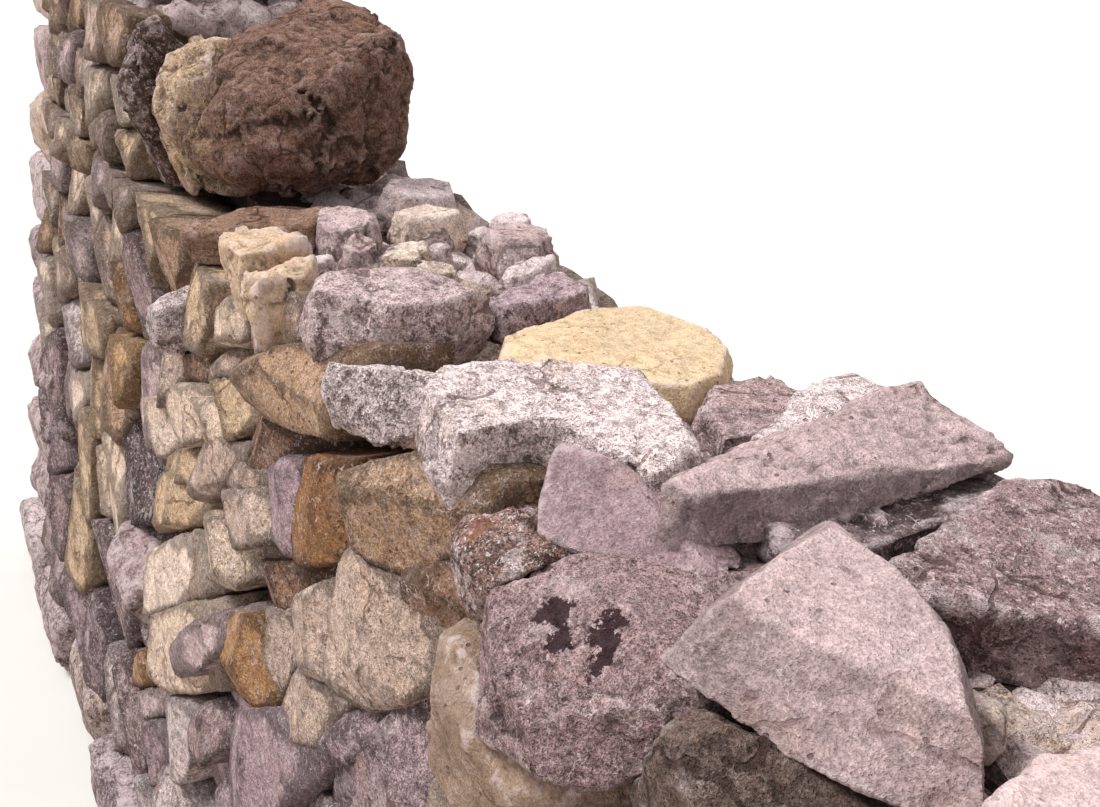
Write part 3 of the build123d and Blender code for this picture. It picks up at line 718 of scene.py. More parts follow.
# %% Colours of the stones
COLOURS = {
    "pinkish_grey": linear(204, 179, 177), "lavender_grey": linear(176, 151, 155),
    "pale_grey": linear(232, 212, 210), "mid_grey": linear(172, 146, 145),
    "dust_pink": linear(188, 164, 163), "dull_tan": linear(150, 126, 109),
    "wheat": linear(208, 180, 152), "silver": linear(194, 170, 169),
    "mauve": linear(156, 130, 130), "mauve_grey": linear(170, 145, 148),
    "dark_grey": linear(120, 102, 102), "green_grey": linear(108, 91, 84),
    "yellow": linear(222, 194, 158), "cream": linear(232, 206, 184),
    "pale_cream": linear(238, 214, 196), "grey_cream": linear(206, 180, 164),
    "tan": linear(186, 153, 126), "olive": linear(214, 184, 152),
    "ochre": linear(206, 164, 120), "orange": linear(184, 140, 98),
    "rust": linear(150, 108, 74), "brown": linear(150, 118, 98),
    "dark_brown": linear(100, 78, 70), "purple_brown": linear(140, 107, 92),
    "speckled_brown": linear(152, 122, 112),
}

# %% Big stones
# How strongly a kind of stone is weathered
CLEAN = {"wear": 0.25, "passes": 2, "tilt": 0.045, "lump_height": 0.004,
         "grain_height": 0.0018, "ledge": 0.0006, "fold_height": 0.0025}
WORN = {"wear": 0.5, "passes": 4, "tilt": 0.08}
CRAGGY = {"wear": 0.1, "passes": 2, "facet": 0.07, "tilt": 0.16, "ledge": 0.003,
          "lump_height": 0.008, "grain_height": 0.0050, "fold": 0.06, "fold_height": 0.008}
PLAIN = {}
CHIPPED = {"wear": 0.2, "passes": 2, "facet": 0.05, "tilt": 0.10, "lump": 0.06,
           "lump_height": 0.009, "grain_height": 0.0026, "fold": 0.035, "fold_height": 0.004}
BROAD = {"wear": 0.05, "passes": 1, "facet": 0.11, "tilt": 0.18, "lump": 0.09,
         "lump_height": 0.010, "grain_height": 0.0032, "fold": 0.09, "fold_height": 0.013,
         "ledge": 0.003}

# name: (finish, slot, colour, age, grid step, seed, kind)
BIG_STONES = {
    "pointed_slab": (slab_stone, "pale_grey_stone", "silver", 0.35, 0.0027, 3.1, CLEAN),
    "key_block": (smooth_stone, "pale_grey_stone", "mauve_grey", 0.45, 0.0028, 5.2, CLEAN),
    "long_slab": (slab_stone, "pale_grey_stone", "dust_pink", 0.40, 0.0032, 7.7, CHIPPED),
    "long_pale_block": (mixed_stone, "pale_grey_stone", "pale_grey", 0.7, 0.0035, 9.4, PLAIN),
    "patched_boulder": (blotched_stone, "weathered_stone", "mauve", 0.5, 0.0034, 11.3,
                        PLAIN),
    "mossy_stone": (dull_stone, "dark_green_grey_stone", "green_grey", 0.4, 0.0040, 13.8,
                    WORN),
    "side_slab": (mixed_stone, "weathered_stone", "mauve", 0.6, 0.0042, 17.1, PLAIN),
    "near_slab": (smooth_stone, "pale_grey_stone", "pinkish_grey", 0.4, 0.0046, 19.6, PLAIN),
    "cream_boulder": (smooth_stone, "cream_stone", "dull_tan", 0.25, 0.0042, 23.2, PLAIN),
    "speckled_stone": (rust_marked, "weathered_stone", "speckled_brown", 0.9, 0.0034, 29.5,
                       PLAIN),
    "rough_block": (rough_stone_finish, "weathered_stone", "pale_grey", 0.8, 0.0032,
                    31.7, PLAIN),
    "lichened_slab": (mixed_stone, "weathered_stone", "pinkish_grey", 0.8, 0.0038, 37.3,
                      PLAIN),
    "yellow_slab": (smooth_stone, "yellow_stone", "yellow", 0.3, 0.0040, 41.9, CLEAN),
    "grey_wedge": (mixed_stone, "weathered_stone", "lavender_grey", 0.6, 0.0042, 43.4, PLAIN),
    "ochre_grey_block": (mixed_stone, "pale_grey_stone", "mid_grey", 0.6, 0.0042, 47.2,
                         PLAIN),
    "pale_cap_stone": (mixed_stone, "pale_grey_stone", "pale_grey", 0.6, 0.0044, 53.8, PLAIN),
    # under_slab fills a spot that is mostly shadow under the slab above it: its dark grey is
    # partly painted shadow and partly the stone's own colour
    "under_slab": (mixed_stone, "dark_brown_stone", "dark_grey", 0.4, 0.0052, 59.1, PLAIN),
    "lichened_boulder": (rough_stone_finish, "weathered_stone", "pale_grey", 0.8, 0.0040,
                         61.6, PLAIN),
    "brown_slab": (banded_stone, "rust_brown_stone", "brown", 0.3, 0.0046, 67.4, PLAIN),
    "top_boulder": (ochre_patched, "dark_brown_stone", "purple_brown", 0.7, 0.0052, 71.5,
                    BROAD),
    "tan_upright": (mixed_stone, "tan_stone", "olive", 0.4, 0.0050, 73.3, BROAD),
    "leaning_slab": (mixed_stone, "dark_brown_stone", "dark_brown", 0.5, 0.0052, 79.9,
                     CRAGGY),
    "cream_edge_stones": (smooth_stone, "cream_stone", "wheat", 0.3, 0.0038, 83.1, CRAGGY),
}
for name, (finish, slot, colour, age, step, seed, kind) in BIG_STONES.items():
    weathered(name + "_stone", node_copy(name), finish, slot, [name], voxel=step,
              colour=COLOURS[colour], age=age, seed=seed, **kind)
print("triangles so far", triangle_total)

# %% [markdown]
# ## Blocks from planes
# A stone in the face is a rough block: straight joints with its neighbours, a front that
# bulges or leans, and corners knocked off. Each of those is a plane at some distance
# from the stone's middle, so a stone can be written down as a short list of planes. Its
# mesh is a closed grid of points on a box, each pushed out from the middle until it
# meets the nearest plane. That gives an even grid for weathering without any remeshing.

# %% Block maker
lattices = {}


def box_lattice(counts):
    """Points from 0 to 1 on the surface of a box, and its outward quads."""
    if counts not in lattices:
        nu, nv, nw = counts
        index = np.full((nu + 1, nv + 1, nw + 1), -1)
        skin_points = np.ones(index.shape, bool)
        skin_points[1:-1, 1:-1, 1:-1] = False
        index[skin_points] = np.arange(skin_points.sum())
        points = np.argwhere(skin_points) / np.array(counts)
        quads = []
        for sheet, flip in ((index[0], True), (index[-1], False), (index[:, 0], False),
                            (index[:, -1], True), (index[:, :, 0], True),
                            (index[:, :, -1], False)):
            corner = np.stack((sheet[:-1, :-1], sheet[1:, :-1], sheet[1:, 1:],
                               sheet[:-1, 1:]), -1).reshape(-1, 4)
            quads.append(corner[:, ::-1] if flip else corner)
        lattices[counts] = points, np.concatenate(quads)
    return lattices[counts]


class StoneHeap:
    """Collects stones, each a list of planes round a middle, into one mesh."""

    def __init__(self):
        self.points, self.quads, self.values, self.count = [], [], [], 0

    def add(self, middle, axes, planes, step, colour, age, seed, sharp=60.0, back=1.0):
        """planes are (outward way, distance from the middle). axes are the grid's own
        directions. back above 1 thins out the grid towards the low end of axis two."""
        ways = np.array([p[0] for p in planes], float)
        ways /= np.linalg.norm(ways, axis=1)[:, None]
        reach = np.array([p[1] for p in planes], float)
        axes = np.array(axes, float)

        def out_to(directions):
            closeness = np.maximum(directions @ ways.T, 0.0) / reach
            return (closeness ** sharp).sum(1) ** (-1.0 / sharp)

        high = out_to(axes)
        low = out_to(-axes)
        spans = (high + low) / step
        spans[1] /= back
        points, quads = box_lattice(tuple(int(max(3, round(s))) for s in spans))
        places = points.copy()
        places[:, 1] = 1 - (1 - places[:, 1]) ** back if back > 1 else places[:, 1]
        places = places * (high + low) - low
        directions = places @ axes
        directions /= np.linalg.norm(directions, axis=1)[:, None]
        places = np.array(middle) + directions * out_to(directions)[:, None]
        self.points.append(places)
        self.quads.append(quads + self.count)
        self.values.append(np.tile([*colour[:3], age, seed], (len(places), 1)))
        self.count += len(places)

    def join(self, other):
        """Takes over the stones of another heap."""
        self.points += other.points
        self.quads += [quads + self.count for quads in other.quads]
        self.values += other.values
        self.count += other.count

    def mesh(self):
        """The collected stones as one mesh with the values that the finish reads."""
        points, quads = np.concatenate(self.points), np.concatenate(self.quads)
        values = np.concatenate(self.values).astype(np.float32)
        mesh = bpy.data.meshes.new("heap")
        mesh.vertices.add(len(points))
        mesh.vertices.foreach_set("co", points.astype(np.float32).ravel())
        mesh.loops.add(quads.size)
        mesh.loops.foreach_set("vertex_index", quads.astype(np.int32).ravel())
        mesh.polygons.add(len(quads))
        mesh.polygons.foreach_set("loop_start", np.arange(0, quads.size, 4, dtype=np.int32))
        mesh.update(calc_edges=True)
        colour = np.concatenate((values[:, :3], np.ones((len(values), 1), np.float32)), 1)
        add_values(mesh, colour.ravel(), values[:, 3], values[:, 4])
        return mesh


# %% [markdown]
# ## Rough blocks
# Where no outline is known a rougher kind of block serves: six sides, every edge
# knocked off by its own amount.

# %% Rough blocks
def rough_planes(rng, axes, reaches, cut, skew=0.10):
    """Six sides at their reaches along the axes, with edges knocked off."""
    sides = [[(axis, reach), (-axis, reach)] for axis, reach in zip(axes, reaches)]
    planes = []
    for number, pair in enumerate(sides):
        others = sides[(number + 1) % 3] + sides[(number + 2) % 3]
        for way, reach in pair:
            shove = sum(other[0] * rng.uniform(-skew, skew) for other in others[::2])
            planes.append((way + shove, reach))
        for way, reach in pair:
            for next_way, next_reach in sides[(number + 1) % 3]:
                slope = rng.uniform(0.5, 1.07)
                planes.append((way * math.cos(slope) + next_way * math.sin(slope),
                               (reach * math.cos(slope) + next_reach * math.sin(slope))
                               * rng.uniform(1 - cut, 1 - cut * 0.25)))
    return planes


def add_block(heap, rng, low, high, step, colour, age, seed, cut=0.2, skew=0.10):
    """A rough block that fills a box."""
    low, high = np.array(low), np.array(high)
    axes = np.eye(3)
    planes = rough_planes(rng, axes, (high - low) / 2, cut, skew)
    heap.add((low + high) / 2, axes, planes, step, COLOURS[colour], age, seed)


# %% [markdown]
# ## The face in the picture
# Near the camera every stone's outline can be made out, so the outlines are written
# down in picture pixels and laid on the wall's leaning face along the camera's
# rays. Further off the view is too flat along the face for that, and there the stones
# are laid in rough courses, larger and greyer low down, smaller and warmer above, as
# the picture shows them. Their joints are the bisectors between neighbours.

# %% Wall's own lines
TOP_HALF = 0.215
TOP_LEVEL = 1.2
FAR_LEVEL = 1.45
FAR_STEP_X = -0.76
BATTER = 1 / 6
FOOTING_LEVEL = 0.15
HEAD_X = 1.55
SKIN_BACK = 0.12
JOINT = 0.0035
MIDDLE_DEPTH = 0.03  # how deep behind the face a stone's middle lies
LEAST_REACH = 0.012
LONGEST_JOINT = 0.24
NEIGHBOUR_RANGE = 2.6  # in half sizes of both stones
LEAST_EDGE = 0.004

lean = math.atan(BATTER)
ALONG = np.array((1.0, 0.0, 0.0))


def face_axes(side):
    """Outward way and up-slope way of the front (-1) or back (+1) face."""
    outward = np.array((0.0, side * math.cos(lean), math.sin(lean)))
    upward = np.array((0.0, -side * math.sin(lean), math.cos(lean)))
    return outward, upward


def face_point(side, x, z, proud=0.0):
    """A point of the face at that length and height, moved out by proud."""
    outward, _ = face_axes(side)
    return np.array((x, side * (TOP_HALF + (TOP_LEVEL - z) * BATTER), z)) + outward * proud


def seen_on_face(pixel, proud):
    """Length and height at which the camera sees a pixel on the front face."""
    outward, _ = face_axes(-1)
    ray = np.array(pixel_ray(*pixel))
    start = np.array(CAMERA_PLACE)
    on_plane = face_point(-1, 0.0, TOP_LEVEL, proud)
    hit = start + ray * ((on_plane - start) @ outward) / (ray @ outward)
    return hit[0], hit[2]


# %% Outlined stones
# Outline in picture pixels, then (how far it stands out in mm, colour, age)
OUTLINED = {
    "tan_large": ([(318, 498), (344, 477), (408, 454), (425, 467), (451, 496), (447, 522),
                   (438, 566), (405, 570), (391, 587), (361, 571), (338, 548), (321, 512)],
                  (30, "tan", 0.35)),
    "rust_upright": ([(289, 500), (292, 470), (300, 457), (340, 463), (345, 550),
                      (328, 566), (312, 569), (292, 562), (289, 545)], (12, "rust", 0.2)),
    "lavender_upright": ([(260, 469), (276, 461), (293, 462), (293, 561), (281, 564),
                          (273, 550), (265, 525), (262, 493)],
                         (14, "lavender_grey", 0.2)),
    "cream_big": ([(341, 553), (369, 579), (393, 587), (398, 628), (429, 649), (437, 670),
                   (435, 683), (421, 698), (380, 708), (360, 720), (346, 714), (320, 680),
                   (319, 662), (325, 640), (325, 582), (333, 561)],
                  (22, "grey_cream", 0.25)),
    "brown_wedge": ([(393, 574), (405, 570), (438, 566), (450, 571), (452, 587),
                     (477, 610), (479, 621), (465, 631), (450, 639), (418, 639),
                     (395, 628), (394, 595)], (16, "brown", 0.2)),
    "ochre_pin": ([(413, 639), (455, 641), (450, 660), (440, 675), (430, 655)],
                  (2, "rust", 0.2)),
    "orange_lump": ([(216, 623), (229, 617), (250, 618), (253, 634), (258, 649),
                     (267, 660), (274, 693), (273, 710), (252, 714), (232, 709),
                     (206, 701), (197, 685), (198, 667), (206, 649)],
                    (22, "orange", 0.35)),
    "cream_left": ([(136, 641), (146, 621), (154, 608), (172, 605), (206, 604), (190, 630),
                    (176, 662), (176, 680), (198, 690), (198, 698), (172, 698), (159, 693),
                    (149, 675)], (24, "cream", 0.2)),
    "lavender_face": ([(166, 662), (175, 640), (210, 615), (242, 608), (250, 617),
                       (216, 625), (206, 649), (197, 670), (190, 680), (172, 680)],
                      (26, "pinkish_grey", 0.3)),
    "grey_cream_tall": ([(286, 605), (302, 587), (322, 582), (328, 597), (326, 634),
                         (325, 649), (319, 670), (324, 687), (312, 687), (296, 683),
                         (286, 660), (282, 634)], (16, "grey_cream", 0.3)),
    "grey_strip": ([(254, 613), (281, 613), (282, 634), (286, 660), (282, 673),
                    (273, 698), (268, 675), (258, 649), (252, 628)],
                   (10, "grey_cream", 0.35)),
    "small_wedge": ([(281, 685), (289, 670), (307, 685), (328, 693), (342, 709),
                     (328, 724), (313, 727), (312, 748), (286, 748), (270, 727),
                     (273, 709)], (8, "grey_cream", 0.4)),
    "cracked_lavender": ([(224, 715), (234, 711), (268, 714), (286, 748), (312, 749),
                          (313, 769), (312, 782), (289, 807), (255, 830), (229, 807),
                          (219, 789), (215, 763), (217, 735)],
                         (18, "lavender_grey", 0.35)),
    "ledge_grey": ([(313, 735), (328, 724), (348, 714), (380, 707), (391, 706),
                    (390, 735), (374, 745), (348, 763), (335, 771), (316, 774)],
                   (20, "lavender_grey", 0.7)),
    "low_grey": ([(391, 706), (439, 685), (431, 722), (426, 763), (442, 776), (455, 807),
                  (380, 850), (309, 807), (312, 782), (335, 771), (374, 745)],
                 (10, "lavender_grey", 0.6)),
    "brown_low_band": ([(234, 579), (239, 563), (255, 561), (276, 566), (322, 574),
                        (325, 582), (302, 587), (286, 605), (278, 613), (258, 608),
                        (247, 597)], (6, "brown", 0.3)),
    "knobbly_cream": ([(182, 530), (198, 518), (208, 514), (217, 525), (223, 551),
                       (255, 537), (273, 550), (281, 564), (239, 563), (234, 579),
                       (229, 592), (211, 587), (198, 582), (195, 566), (185, 545)],
                      (12, "cream", 0.6)),
    "grey_cream_block": ([(217, 493), (234, 496), (260, 491), (262, 504), (265, 525),
                          (273, 545), (237, 545), (224, 552), (217, 545), (217, 517)],
                         (18, "grey_cream", 0.4)),
    "grey_upper": ([(212, 439), (237, 447), (237, 462), (229, 475), (220, 491),
                    (206, 499), (198, 506), (187, 491), (195, 462), (200, 449)],
                   (16, "grey_cream", 0.25)),
    "grey_small": ([(232, 461), (255, 473), (261, 488), (260, 491), (234, 496),
                    (220, 492), (226, 478)], (10, "grey_cream", 0.3)),
    "tan_rect": ([(146, 486), (154, 475), (175, 478), (185, 491), (198, 512), (195, 519),
                  (182, 530), (147, 536), (146, 509)], (22, "olive", 0.2)),
    "ochre_cap": ([(160, 455), (190, 448), (199, 449), (190, 478), (186, 488),
                   (175, 478), (154, 475), (152, 465)], (14, "olive", 0.3)),
    "cream_round": ([(136, 579), (146, 553), (167, 540), (182, 534), (190, 556),
                     (198, 582), (195, 600), (162, 606), (149, 618), (141, 608),
                     (134, 597)], (20, "pale_cream", 0.15)),
    "brown_cracked": ([(225, 429), (234, 417), (247, 416), (250, 423), (273, 434),
                       (309, 448), (289, 457), (265, 467), (255, 473), (242, 467),
                       (232, 447)], (4, "brown", 0.5)),
    "cream_top": ([(234, 380), (245, 362), (290, 342), (318, 352), (316, 380),
                   (310, 440), (305, 447), (285, 437), (247, 416), (236, 400)],
                  (24, "tan", 0.2)),
    "cream_mid": ([(176, 400), (234, 400), (234, 417), (225, 429), (224, 445),
                   (212, 439), (198, 449), (176, 444), (174, 420)], (18, "cream", 0.25)),
    "pale_lavender": ([(131, 400), (151, 400), (159, 415), (173, 421), (175, 444),
                       (161, 454), (148, 462), (132, 441)], (14, "pale_cream", 0.2)),
    "ochre_cream": ([(203, 387), (236, 371), (238, 401), (246, 414), (228, 422),
                     (225, 441), (198, 446), (194, 430), (199, 412)],
                    (16, "olive", 0.25)),
    "cream_slice": ([(171, 385), (190, 387), (203, 390), (198, 414), (193, 441),
                     (179, 449), (174, 428), (162, 412), (163, 401)],
                    (16, "cream", 0.25)),
    "brown_small": ([(177, 354), (203, 358), (205, 366), (202, 387), (171, 385)],
                    (6, "brown", 0.3)),
    "grey_tall_left": ([(150, 342), (177, 353), (171, 385), (163, 403), (150, 411),
                        (147, 382), (147, 361)], (16, "grey_cream", 0.5)),
    "cream_small": ([(206, 361), (228, 349), (236, 363), (233, 371), (214, 377),
                     (203, 387), (205, 369)], (12, "grey_cream", 0.2)),
    "cream_between": ([(213, 305), (236, 290), (233, 307), (237, 340), (228, 349),
                       (214, 350)], (14, "cream", 0.2)),
    "grey_cream_cap": ([(234, 307), (238, 295), (262, 292), (284, 300), (290, 342),
                        (245, 362), (238, 345)], (18, "grey_cream", 0.3)),
    "white_upright": ([(155, 701), (168, 699), (185, 703), (190, 713), (189, 741),
                       (181, 768), (173, 787), (166, 781), (160, 747), (155, 726)],
                      (16, "pale_grey", 0.5)),
    "grey_low_left": ([(132, 752), (137, 726), (145, 720), (155, 726), (160, 747),
                       (160, 783), (147, 787), (135, 792)], (12, "lavender_grey", 0.4)),
    "grey_low_mid": ([(189, 709), (204, 703), (223, 716), (217, 747), (202, 768),
                      (189, 752), (187, 731)], (10, "mid_grey", 0.6)),
    "cream_grey_pin": ([(120, 707), (126, 697), (154, 688), (155, 701), (152, 720),
                        (139, 722), (130, 722)], (18, "pinkish_grey", 0.3)),
    "orange_pin": ([(122, 678), (126, 663), (136, 650), (145, 676), (150, 687),
                    (137, 688), (126, 686)], (10, "orange", 0.3)),
}

# %% Split fronts of the nearest stones
# Planes through a picture pixel, as (pixel, lean towards the near end, lean upwards)
SPLITS = {
    "tan_large": (((385, 505), 0.10, 0.55), ((385, 505), 0.35, -0.20),
                  ((345, 530), -0.35, -0.30)),
    "cream_big": (((372, 620), 0.16, 0.06), ((350, 620), -0.10, 0.05),
                  ((400, 690), 0.25, -0.35)),
    "brown_wedge": (((430, 590), 0.25, 0.35), ((430, 600), 0.25, -0.40)),
    "rust_upright": (((318, 510), 0.30, 0.0), ((305, 510), -0.15, 0.05)),
    "lavender_upright": (((277, 510), 0.20, 0.0), ((277, 510), -0.10, 0.0)),
    "orange_lump": (((240, 655), 0.35, 0.05), ((228, 655), -0.20, 0.10),
                    ((240, 690), 0.1, -0.5)),
    "cream_left": (((165, 640), 0.15, 0.05), ((150, 650), -0.35, 0.0),
                   ((180, 612), 0.1, 0.5)),
    "lavender_face": (((205, 640), 0.15, 0.1), ((205, 650), 0.1, -0.1)),
    "grey_cream_tall": (((308, 620), 0.25, 0.10), ((300, 640), -0.15, -0.05)),
    "cream_round": (((165, 575), 0.10, 0.10), ((145, 580), -0.30, 0.05)),
    "cracked_lavender": (((265, 760), 0.12, 0.05), ((235, 760), -0.25, 0.0)),
    "low_grey": (((400, 760), 0.20, 0.25), ((360, 790), -0.05, -0.1)),
    "ledge_grey": (((350, 735), 0.1, 0.8), ((350, 742), 0.2, -0.2)),
    "cream_top": (((275, 385), 0.15, 0.55), ((275, 392), 0.20, -0.12)),
    "knobbly_cream": (((230, 560), 0.2, 0.2), ((210, 560), -0.2, -0.2)),
}

# %% Sites of the stones that are not outlined
# Length and height of the middle, width, height (all in metres), colour, age
NOTED = [
    (-0.62, 0.77, 0.17, 0.15, "dark_grey", 1.0), (-1.02, 0.60, 0.16, 0.13, "olive", 0.3),
    (-0.87, 0.61, 0.14, 0.10, "cream", 0.3), (-1.10, 0.40, 0.20, 0.16, "olive", 0.4),
    (-0.80, 0.46, 0.26, 0.22, "mid_grey", 1.0), (-0.78, 0.83, 0.16, 0.12, "tan", 0.3),
    (-0.72, 0.92, 0.15, 0.10, "ochre", 0.3), (-0.74, 0.99, 0.13, 0.09, "orange", 0.3),
    (-0.68, 1.07, 0.13, 0.09, "mid_grey", 0.6), (-0.56, 0.90, 0.14, 0.12, "pinkish_grey", 0.2),
    (-0.52, 0.60, 0.20, 0.18, "mid_grey", 1.0), (-0.95, 0.78, 0.16, 0.12, "olive", 0.3),
    (-0.60, 0.28, 0.26, 0.20, "mid_grey", 1.0), (-0.30, 0.33, 0.24, 0.20, "pale_grey", 0.9),
    (-0.02, 0.50, 0.22, 0.18, "lavender_grey", 0.6), (0.22, 0.68, 0.24, 0.17, "mid_grey", 0.8),
    (-0.85, 1.10, 0.12, 0.09, "cream", 0.3), (-0.95, 1.02, 0.13, 0.10, "grey_cream", 0.4),
    (-1.20, 0.80, 0.18, 0.14, "pale_grey", 0.8), (-1.35, 0.62, 0.22, 0.16, "mid_grey", 0.9),
]
FAR_FIELD_COLOURS = ("cream", "olive", "grey_cream", "tan", "pale_cream", "wheat",
                     "pinkish_grey", "grey_cream")
LOW_COLOURS = ("mid_grey", "lavender_grey", "pale_grey", "pinkish_grey", "mid_grey",
               "grey_cream")


def laid_sites(rng, x0, x1, z0, z1, taken, size=1.0):
    """Rough courses of stones as (x, z, half size, colour, age), clear of those taken."""
    sites = []
    z = z0
    while z < z1 - 0.03:
        low = (z - FOOTING_LEVEL) / (TOP_LEVEL - FOOTING_LEVEL)
        tall = size * (0.165 - 0.065 * min(1, low)) * rng.uniform(0.85, 1.15)
        if z + tall * 1.5 > z1:
            tall = z1 - z
        x = x0
        while x < x1 - 0.03:
            wide = tall * rng.uniform(0.85, 1.9)
            if x + wide * 1.45 > x1:
                wide = x1 - x
            mx = x + wide / 2 + rng.uniform(-0.01, 0.01)
            mz = z + tall / 2 + rng.uniform(-0.16, 0.16) * tall
            half = (wide + tall) / 4
            x += wide
            if any(math.hypot(mx - t[0], mz - t[1]) < 0.8 * (half + t[2]) for t in taken):
                continue
            grey = rng.random() < 1.1 - 1.6 * low
            colours = LOW_COLOURS if grey else FAR_FIELD_COLOURS
            sites.append((mx, mz, half, colours[rng.integers(len(colours))],
                          rng.uniform(0.6, 1.0) if grey else rng.uniform(0.15, 0.5)))
        z += tall
    return sites


# %% Stones between joints
def plane_through(way, spot):
    """A plane as (unit way, distance from the middle) through a spot."""
    way = way / np.linalg.norm(way)
    return way, max(0.010, way @ spot)


def front_planes(rng, side, outline_planes, proud, split):
    """Planes of a face stone: its joints, chips along them, a split front and a back.
    split is a list of (lean along, lean up, length and height of the ridge)."""
    outward, upward = face_axes(side)
    front = proud + MIDDLE_DEPTH
    planes = []
    for way, reach in outline_planes:
        planes.append((way, reach))
        if rng.random() < 0.55:
            slant = rng.uniform(0.3, 1.1)
            cut = rng.uniform(0.001, 0.007)
            planes.append(plane_through(way * math.cos(slant) + outward * math.sin(slant),
                                        way * (reach - cut) + outward * (front - cut)))
    if not split:
        split = [(rng.uniform(0.05, 0.40), rng.uniform(-0.1, 0.45), rng.uniform(-0.02, 0.02),
                  rng.uniform(-0.015, 0.015))]
        split.append((-rng.uniform(0.0, 0.35), rng.uniform(-0.4, 0.2), *split[0][2:]))
    for lean_along, lean_up, along, high in split:
        planes.append(plane_through(
            outward + ALONG * lean_along + upward * lean_up,
            outward * front + ALONG * along + upward * high))
    planes.append((-outward, SKIN_BACK - MIDDLE_DEPTH))
    return planes


def add_outlined(heap, rng, pixels, proud, colour, age, cuts, step, seed):
    """A stone whose outline is given in picture pixels. Returns its site."""
    outward, upward = face_axes(-1)
    spots = np.array([seen_on_face(p, proud) for p in pixels])
    spots[:, 1] /= math.cos(lean)
    hull = [Vector(s) for s in spots]
    hull = np.array([spots[i] for i in convex_hull_2d(hull)])
    area, centre = 0.0, np.zeros(2)
    for a, b in zip(hull, np.roll(hull, -1, 0)):
        cross = a[0] * b[1] - a[1] * b[0]
        area += cross / 2
        centre += (a + b) * cross / 6
    centre /= area
    middle = face_point(-1, centre[0], centre[1] * math.cos(lean), -MIDDLE_DEPTH)
    joints = []
    for a, b in zip(hull, np.roll(hull, -1, 0)):
        edge = b - a
        if np.linalg.norm(edge) < LEAST_EDGE:
            continue
        away = np.array((edge[1], -edge[0])) / np.linalg.norm(edge)
        if area < 0:
            away = -away
        reach = max(0.008, (a - centre) @ away + 0.0015)
        joints.append((ALONG * away[0] + upward * away[1], reach))
    split = []
    for pixel, lean_along, lean_up in cuts:
        x, z = seen_on_face(pixel, proud)
        split.append((lean_along, lean_up, x - centre[0], z / math.cos(lean) - centre[1]))
    planes = front_planes(rng, -1, joints, proud, split)
    heap.add(middle, (ALONG, outward, upward), planes, step, COLOURS[colour], age, seed,
             back=2.0)
    return centre[0], centre[1] * math.cos(lean), math.sqrt(abs(area)) / 2


def add_bisected(heap, rng, side, site, others, bounds, step, seed, proud):
    """A stone whose joints lie half way to its neighbours' sites."""
    outward, upward = face_axes(side)
    x, z, half, colour, age = site
    middle = face_point(side, x, z, -MIDDLE_DEPTH)
    joints = []
    for ox, oz, other_half in others:
        gap = np.array((ox - x, (oz - z) / math.cos(lean)))
        apart = np.linalg.norm(gap)
        if apart < 1e-6 or apart > NEIGHBOUR_RANGE * (half + other_half):
            continue
        way = gap / apart
        reach = apart / 2 + (half ** 2 - other_half ** 2) / (2 * apart)
        joints.append((ALONG * way[0] + upward * way[1], max(LEAST_REACH, reach - JOINT)))
    x0, x1, z0, z1 = bounds
    for way, reach in ((ALONG, x1 - x), (-ALONG, x - x0),
                       (upward, (z1 - z) / math.cos(lean)),
                       (-upward, (z - z0) / math.cos(lean))):
        joints.append((way, max(LEAST_REACH, reach - JOINT / 2)))
    joints = [joint for joint in joints if joint[1] < LONGEST_JOINT]
    planes = front_planes(rng, side, joints, proud, [])
    heap.add(middle, (ALONG, outward * -side, upward), planes, step, COLOURS[colour], age,
             seed, back=2.0 if side < 0 else 1.0)


# %% [markdown]
# ## Laying the front and back faces
# Each bay and lift becomes one piece that stands for its solid. The stones of the
# outlines are laid first. The courses then fill what is left, and the stones that are
# solids of their own keep their places free.

# %% Lay the faces
SET_IN_FACE = {"lichened_boulder": 0.07, "speckled_stone": 0.05, "patched_boulder": 0.10,
               "mossy_stone": 0.10, "cream_boulder": 0.11}
BAY_EDGES = (-1.55, -0.9, 0.0, 0.9, 1.55)
FAR_END, NEAR_END = BAY_EDGES[0], BAY_EDGES[-1]
SMALL_STONES_END = -0.7
CLOSE_END = 0.75
OUTLINED_STEP, CLOSE_STEP, FAR_STEP, PASSED_STEP = 0.0052, 0.0076, 0.0115, 0.018
face_rng = np.random.default_rng(2203)
outlined_sites = []
front_heaps = [StoneHeap() for _ in range(4)]


def bay_of(x):
    """Which of the four bays a length along the wall falls in."""
    return sum(x > edge for edge in BAY_EDGES[1:4])


def grid_step(x):
    """How fine a front stone's grid is: finest near the camera, coarse behind it."""
    if SMALL_STONES_END < x < CLOSE_END:
        return CLOSE_STEP
    return FAR_STEP if x < 0 else PASSED_STEP


for number, (name, (pixels, (proud, colour, age))) in enumerate(OUTLINED.items()):
    middle_x = seen_on_face(np.mean(pixels, 0), proud / 1000)[0]
    outlined_sites.append(add_outlined(
        front_heaps[bay_of(middle_x)], face_rng, pixels, proud / 1000, colour, age,
        SPLITS.get(name, ()), OUTLINED_STEP, 100.0 + number))
for name, half in SET_IN_FACE.items():
    low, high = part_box(name)
    outlined_sites.append(((low.x + high.x) / 2, (low.z + min(high.z, TOP_LEVEL)) / 2, half))
noted = [(x, z, (w + h) / 4, colour, age) for x, z, w, h, colour, age in NOTED]
taken = outlined_sites + [site[:3] for site in noted]
front_sites = list(noted)
for x0, x1, size in ((FAR_END, SMALL_STONES_END, 0.78), (SMALL_STONES_END, NEAR_END, 1.0)):
    front_sites += laid_sites(face_rng, x0, x1, FOOTING_LEVEL, TOP_LEVEL, taken, size)
others = [site[:3] for site in front_sites] + outlined_sites
